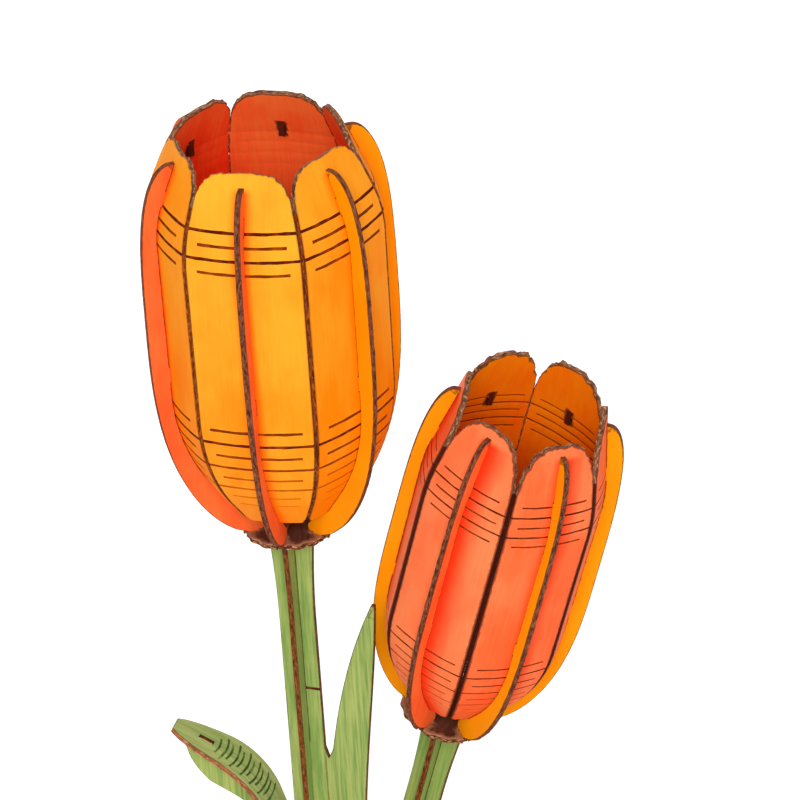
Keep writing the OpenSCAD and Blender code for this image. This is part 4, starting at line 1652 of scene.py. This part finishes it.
def keel_outline():
    """Rib that carries the bent leaf, as (distance, height)."""
    s = tulips()
    f = s.leaves
    face = bent_line()
    back = face + corner_shifts(face) * s.sheet.ply
    half = s.stems.width / 2
    tip = face[-1]
    middle = tip[0] - f.tab_inset
    tab = [middle - f.tab_length / 2, middle + f.tab_length / 2]
    on_face = np.interp(tab, face[:, 0], face[:, 1])
    tab_top = np.interp(tab, back[:, 0], back[:, 1]) + f.tab_out
    end_x = tip[0] - f.keel_tip_inset
    end = (end_x, np.interp(end_x, face[:, 0], face[:, 1]))
    ledge = f.bent_height + (back[0] - face[0])[1]
    points = [
        (0, f.keel_root),
        (0, ledge),
        (half, ledge),
        back[0],
        *face[: BENT_LINES + 1],
        (tab[0], on_face[0]),
        (tab[0], tab_top[0]),
        (tab[1], tab_top[1]),
        (tab[1], on_face[1]),
        end,
    ]
    low = []
    for i in range(BENT_LINES + 1):
        full = math.sin(math.pi / 2 * i / BENT_LINES)
        low.append((face[i], ratio(full, f.keel_foot_depth, f.keel_depth), bent_lean(i)))
    # from there its end is rounded
    for part in np.linspace(0, 1, 13)[1:]:
        depth = ratio(part, f.keel_depth, 1.1 * f.keel_tip_depth)
        depth = ratio(part**4, depth, f.keel_tip_depth / 2)
        spot = ratio(part, face[BENT_LINES], np.array(end))
        low.append((spot, depth, bent_lean(BENT_LINES)))
    for q, depth, lean in reversed(low):
        points.append((q[0] + depth * math.cos(lean), q[1] - depth * math.sin(lean)))
    return np.array([tuple(q) for q in points] + [(half, f.keel_root)])


class TULIP_OT_bent_leaf(Operator):
    """Leaf that is bent over its keel, with score lines and a slot"""

    bl_idname = "tulip.bent_leaf"
    bl_label = "Bent leaf"

    def execute(self, context):
        s = context.scene.tulips
        f, p, ply = s.leaves, s.paints, s.sheet.ply
        face = bent_line()
        shifts = corner_shifts(face)
        top = face + shifts * ply
        run = lengths_along(top)

        def place(flat, depth):
            x, z = bent(flat[:, 1], depth, run, top, -shifts)
            return np.column_stack([x, flat[:, 0], z])

        # its width follows the straight line from its foot to its tip
        chord = np.linalg.norm(face[-1] - face[0])
        way = (face[-1] - face[0]) / chord

        def half_at(v):
            spot = np.array([np.interp(v, run, top[:, 0]), np.interp(v, run, top[:, 1])])
            part = ((spot - face[0]) @ way + ply) / (chord + 2 * ply)
            part = min(max(part, 0), 1)
            if part < 0.5:
                return ratio(math.sin(math.pi * part), f.bent_foot_half, f.bent_half_width)
            bulge = math.sqrt(max(0, 1 - (2 * part - 1) ** 2))
            return ratio(bulge, f.bent_tip_half, f.bent_half_width)

        along = np.linspace(0, run[-1] - s.sheet.soft_edge, 60)
        outline = both_sides([(half_at(v), v) for v in along])
        middle = face[-1][0] - f.tab_inset
        ends = [middle + sign * (f.tab_length + s.sheet.end_play) / 2 for sign in (-1, 1)]
        low, high = (float(np.interp(x, top[:, 0], run)) for x in ends)
        # short curved strokes from the slot down the bend, long and short in turn
        scores = []
        for i in range(LEAF_STROKES):
            v = low - f.stroke_pitch * (i + 0.7)
            reach = half_at(v) * (0.8 if i % 2 else 0.55)
            scores.append(Score((-reach * 0.9, v), (reach, v), 1.0, 0.75, -0.16 * reach, i))
        # the bent leaf's paint is lighter than the flat leaf's: painted light for its upper face
        green = painted_material(
            "bent leaf green", p.bent_leaf, p.leaf_deep, 0.3, 0.6, rim=0.25 * MM
        )
        edge = edge_material("leaf edge", 0.8, p.toast, p.leaf_edge, p.edge_tan)
        scored = scored_material("leaf score", p.leaf, p.leaf_line, p.leaf_deep)
        dark = edge_material("leaf slot", 0.0, toast=p.leaf_line)

        def walls(points):
            """The cut edge and the slot."""
            near = np.abs(points[:, 0]) < 2 * slot_half()
            near &= (points[:, 1] > low - MM) & (points[:, 1] < high + MM)
            return np.where(near, EXTRA, CUT)

        make_piece(
            "bent_leaf", "leaf_wood", about_z(s.stems.tall_turn + math.pi),
            [outline, slot_loop(low, high)], place, ply,
            (green, green, edge, scored, scored, dark), scores, SEEDS["leaf"], walls=walls,
        )
        return {"FINISHED"}


class TULIP_OT_stand(Operator):
    """Two oval plates; the upper one has a crossed slot for each stem"""

    bl_idname = "tulip.stand"
    bl_label = "Stand"

    def execute(self, context):
        s = context.scene.tulips
        t, p = s.stand, s.paints
        wood = painted_material("bare birch", p.birch, p.birch_deep, 0.4, 0.8, scorch=p.toast)
        edge = edge_material("stand edge", 0.5)
        outline = []
        for k, (right, back) in enumerate(((1, 1), (-1, 1), (-1, -1), (1, -1))):
            x = (t.size_x / 2 - t.corner) * right + t.right
            y = (t.size_y / 2 - t.corner) * back + t.back
            for a in np.linspace(k * math.pi / 2, (k + 1) * math.pi / 2, 25):
                outline.append((x + t.corner * math.cos(a), y + t.corner * math.sin(a)))
        outline = np.array(outline)
        tall = cross_loop(s.stems.width, s.stems.tall_turn)
        # the short stem leans, so its slot does too
        matrix = head_of(2).matrix
        axis = matrix.to_3x3() @ Vector((0, 0, 1))
        top = 2 * t.plate
        leaning = []
        for x, y in cross_loop(s.stems.width, s.stems.short_turn):
            q = matrix.to_3x3() @ Vector((x, y, 0)) + matrix.translation
            down = (q.z - top) / axis.z
            leaning.append((q.x - axis.x * down, q.y - axis.y * down))
        leaning = np.array(leaning)
        middle = leaning.mean(axis=0)
        reach = max(np.linalg.norm(leaning - middle, axis=1)) + 0.1 * MM

        def place(points, depth):
            near = np.linalg.norm(points - middle, axis=1) < reach
            near &= distance_to(points, [leaning]) < 0.3 * MM
            shift = np.array([axis.x / axis.z, axis.y / axis.z]) * (depth * near)[:, None]
            return np.column_stack([points - shift, top - depth])

        for i, (name, node, loops, how) in enumerate((
            ("lower_plate", "stand_bottom_plate", [outline], level_place(t.plate)),
            ("upper_plate", "stand_top_plate", [outline, tall, leaning], place),
        )):
            make_piece(
                node, "birch_wood", None, loops, how, t.plate, (wood, wood, edge),
                seed=SEEDS["stand"] + i, name=name,
            )
        return {"FINISHED"}


class TULIP_PT_panel(Panel):
    """Buttons that build the pieces, and the settings"""

    bl_label = "Wooden tulips"
    bl_idname = "TULIP_PT_panel"
    bl_space_type = "VIEW_3D"
    bl_region_type = "UI"
    bl_category = "Tulips"

    def draw(self, context):
        for operator in OPERATORS:
            self.layout.operator(operator.bl_idname)
        settings = context.scene.tulips
        for key in TulipSettings.__annotations__:
            box = self.layout.box()
            box.label(text=key.capitalize())
            values = getattr(settings, key)
            for name in type(values).__annotations__:
                box.prop(values, name)


SETTINGS = (
    SheetSizes, PetalSizes, RibSizes, DiscSizes, StemSizes, HeadPlaces, LeafSizes, StandSizes,
    ViewSettings, Paints, TulipSettings,
)
OPERATORS = (
    TULIP_OT_stage, TULIP_OT_petals, TULIP_OT_ribs, TULIP_OT_discs, TULIP_OT_stems,
    TULIP_OT_bent_leaf, TULIP_OT_stand,
)
CLASSES = (*SETTINGS, *OPERATORS, TULIP_PT_panel)


def register():
    for item in CLASSES:
        bpy.utils.register_class(item)
    bpy.types.Scene.tulips = PointerProperty(type=TulipSettings)


def unregister():
    del bpy.types.Scene.tulips
    for item in reversed(CLASSES):
        bpy.utils.unregister_class(item)


def main():
    register()
    bpy.ops.tulip.stage()
    bpy.ops.tulip.petals()
    bpy.ops.tulip.ribs()
    bpy.ops.tulip.discs()
    bpy.ops.tulip.stems()
    bpy.ops.tulip.bent_leaf()
    bpy.ops.tulip.stand()


if __name__ == "__main__":
    main()
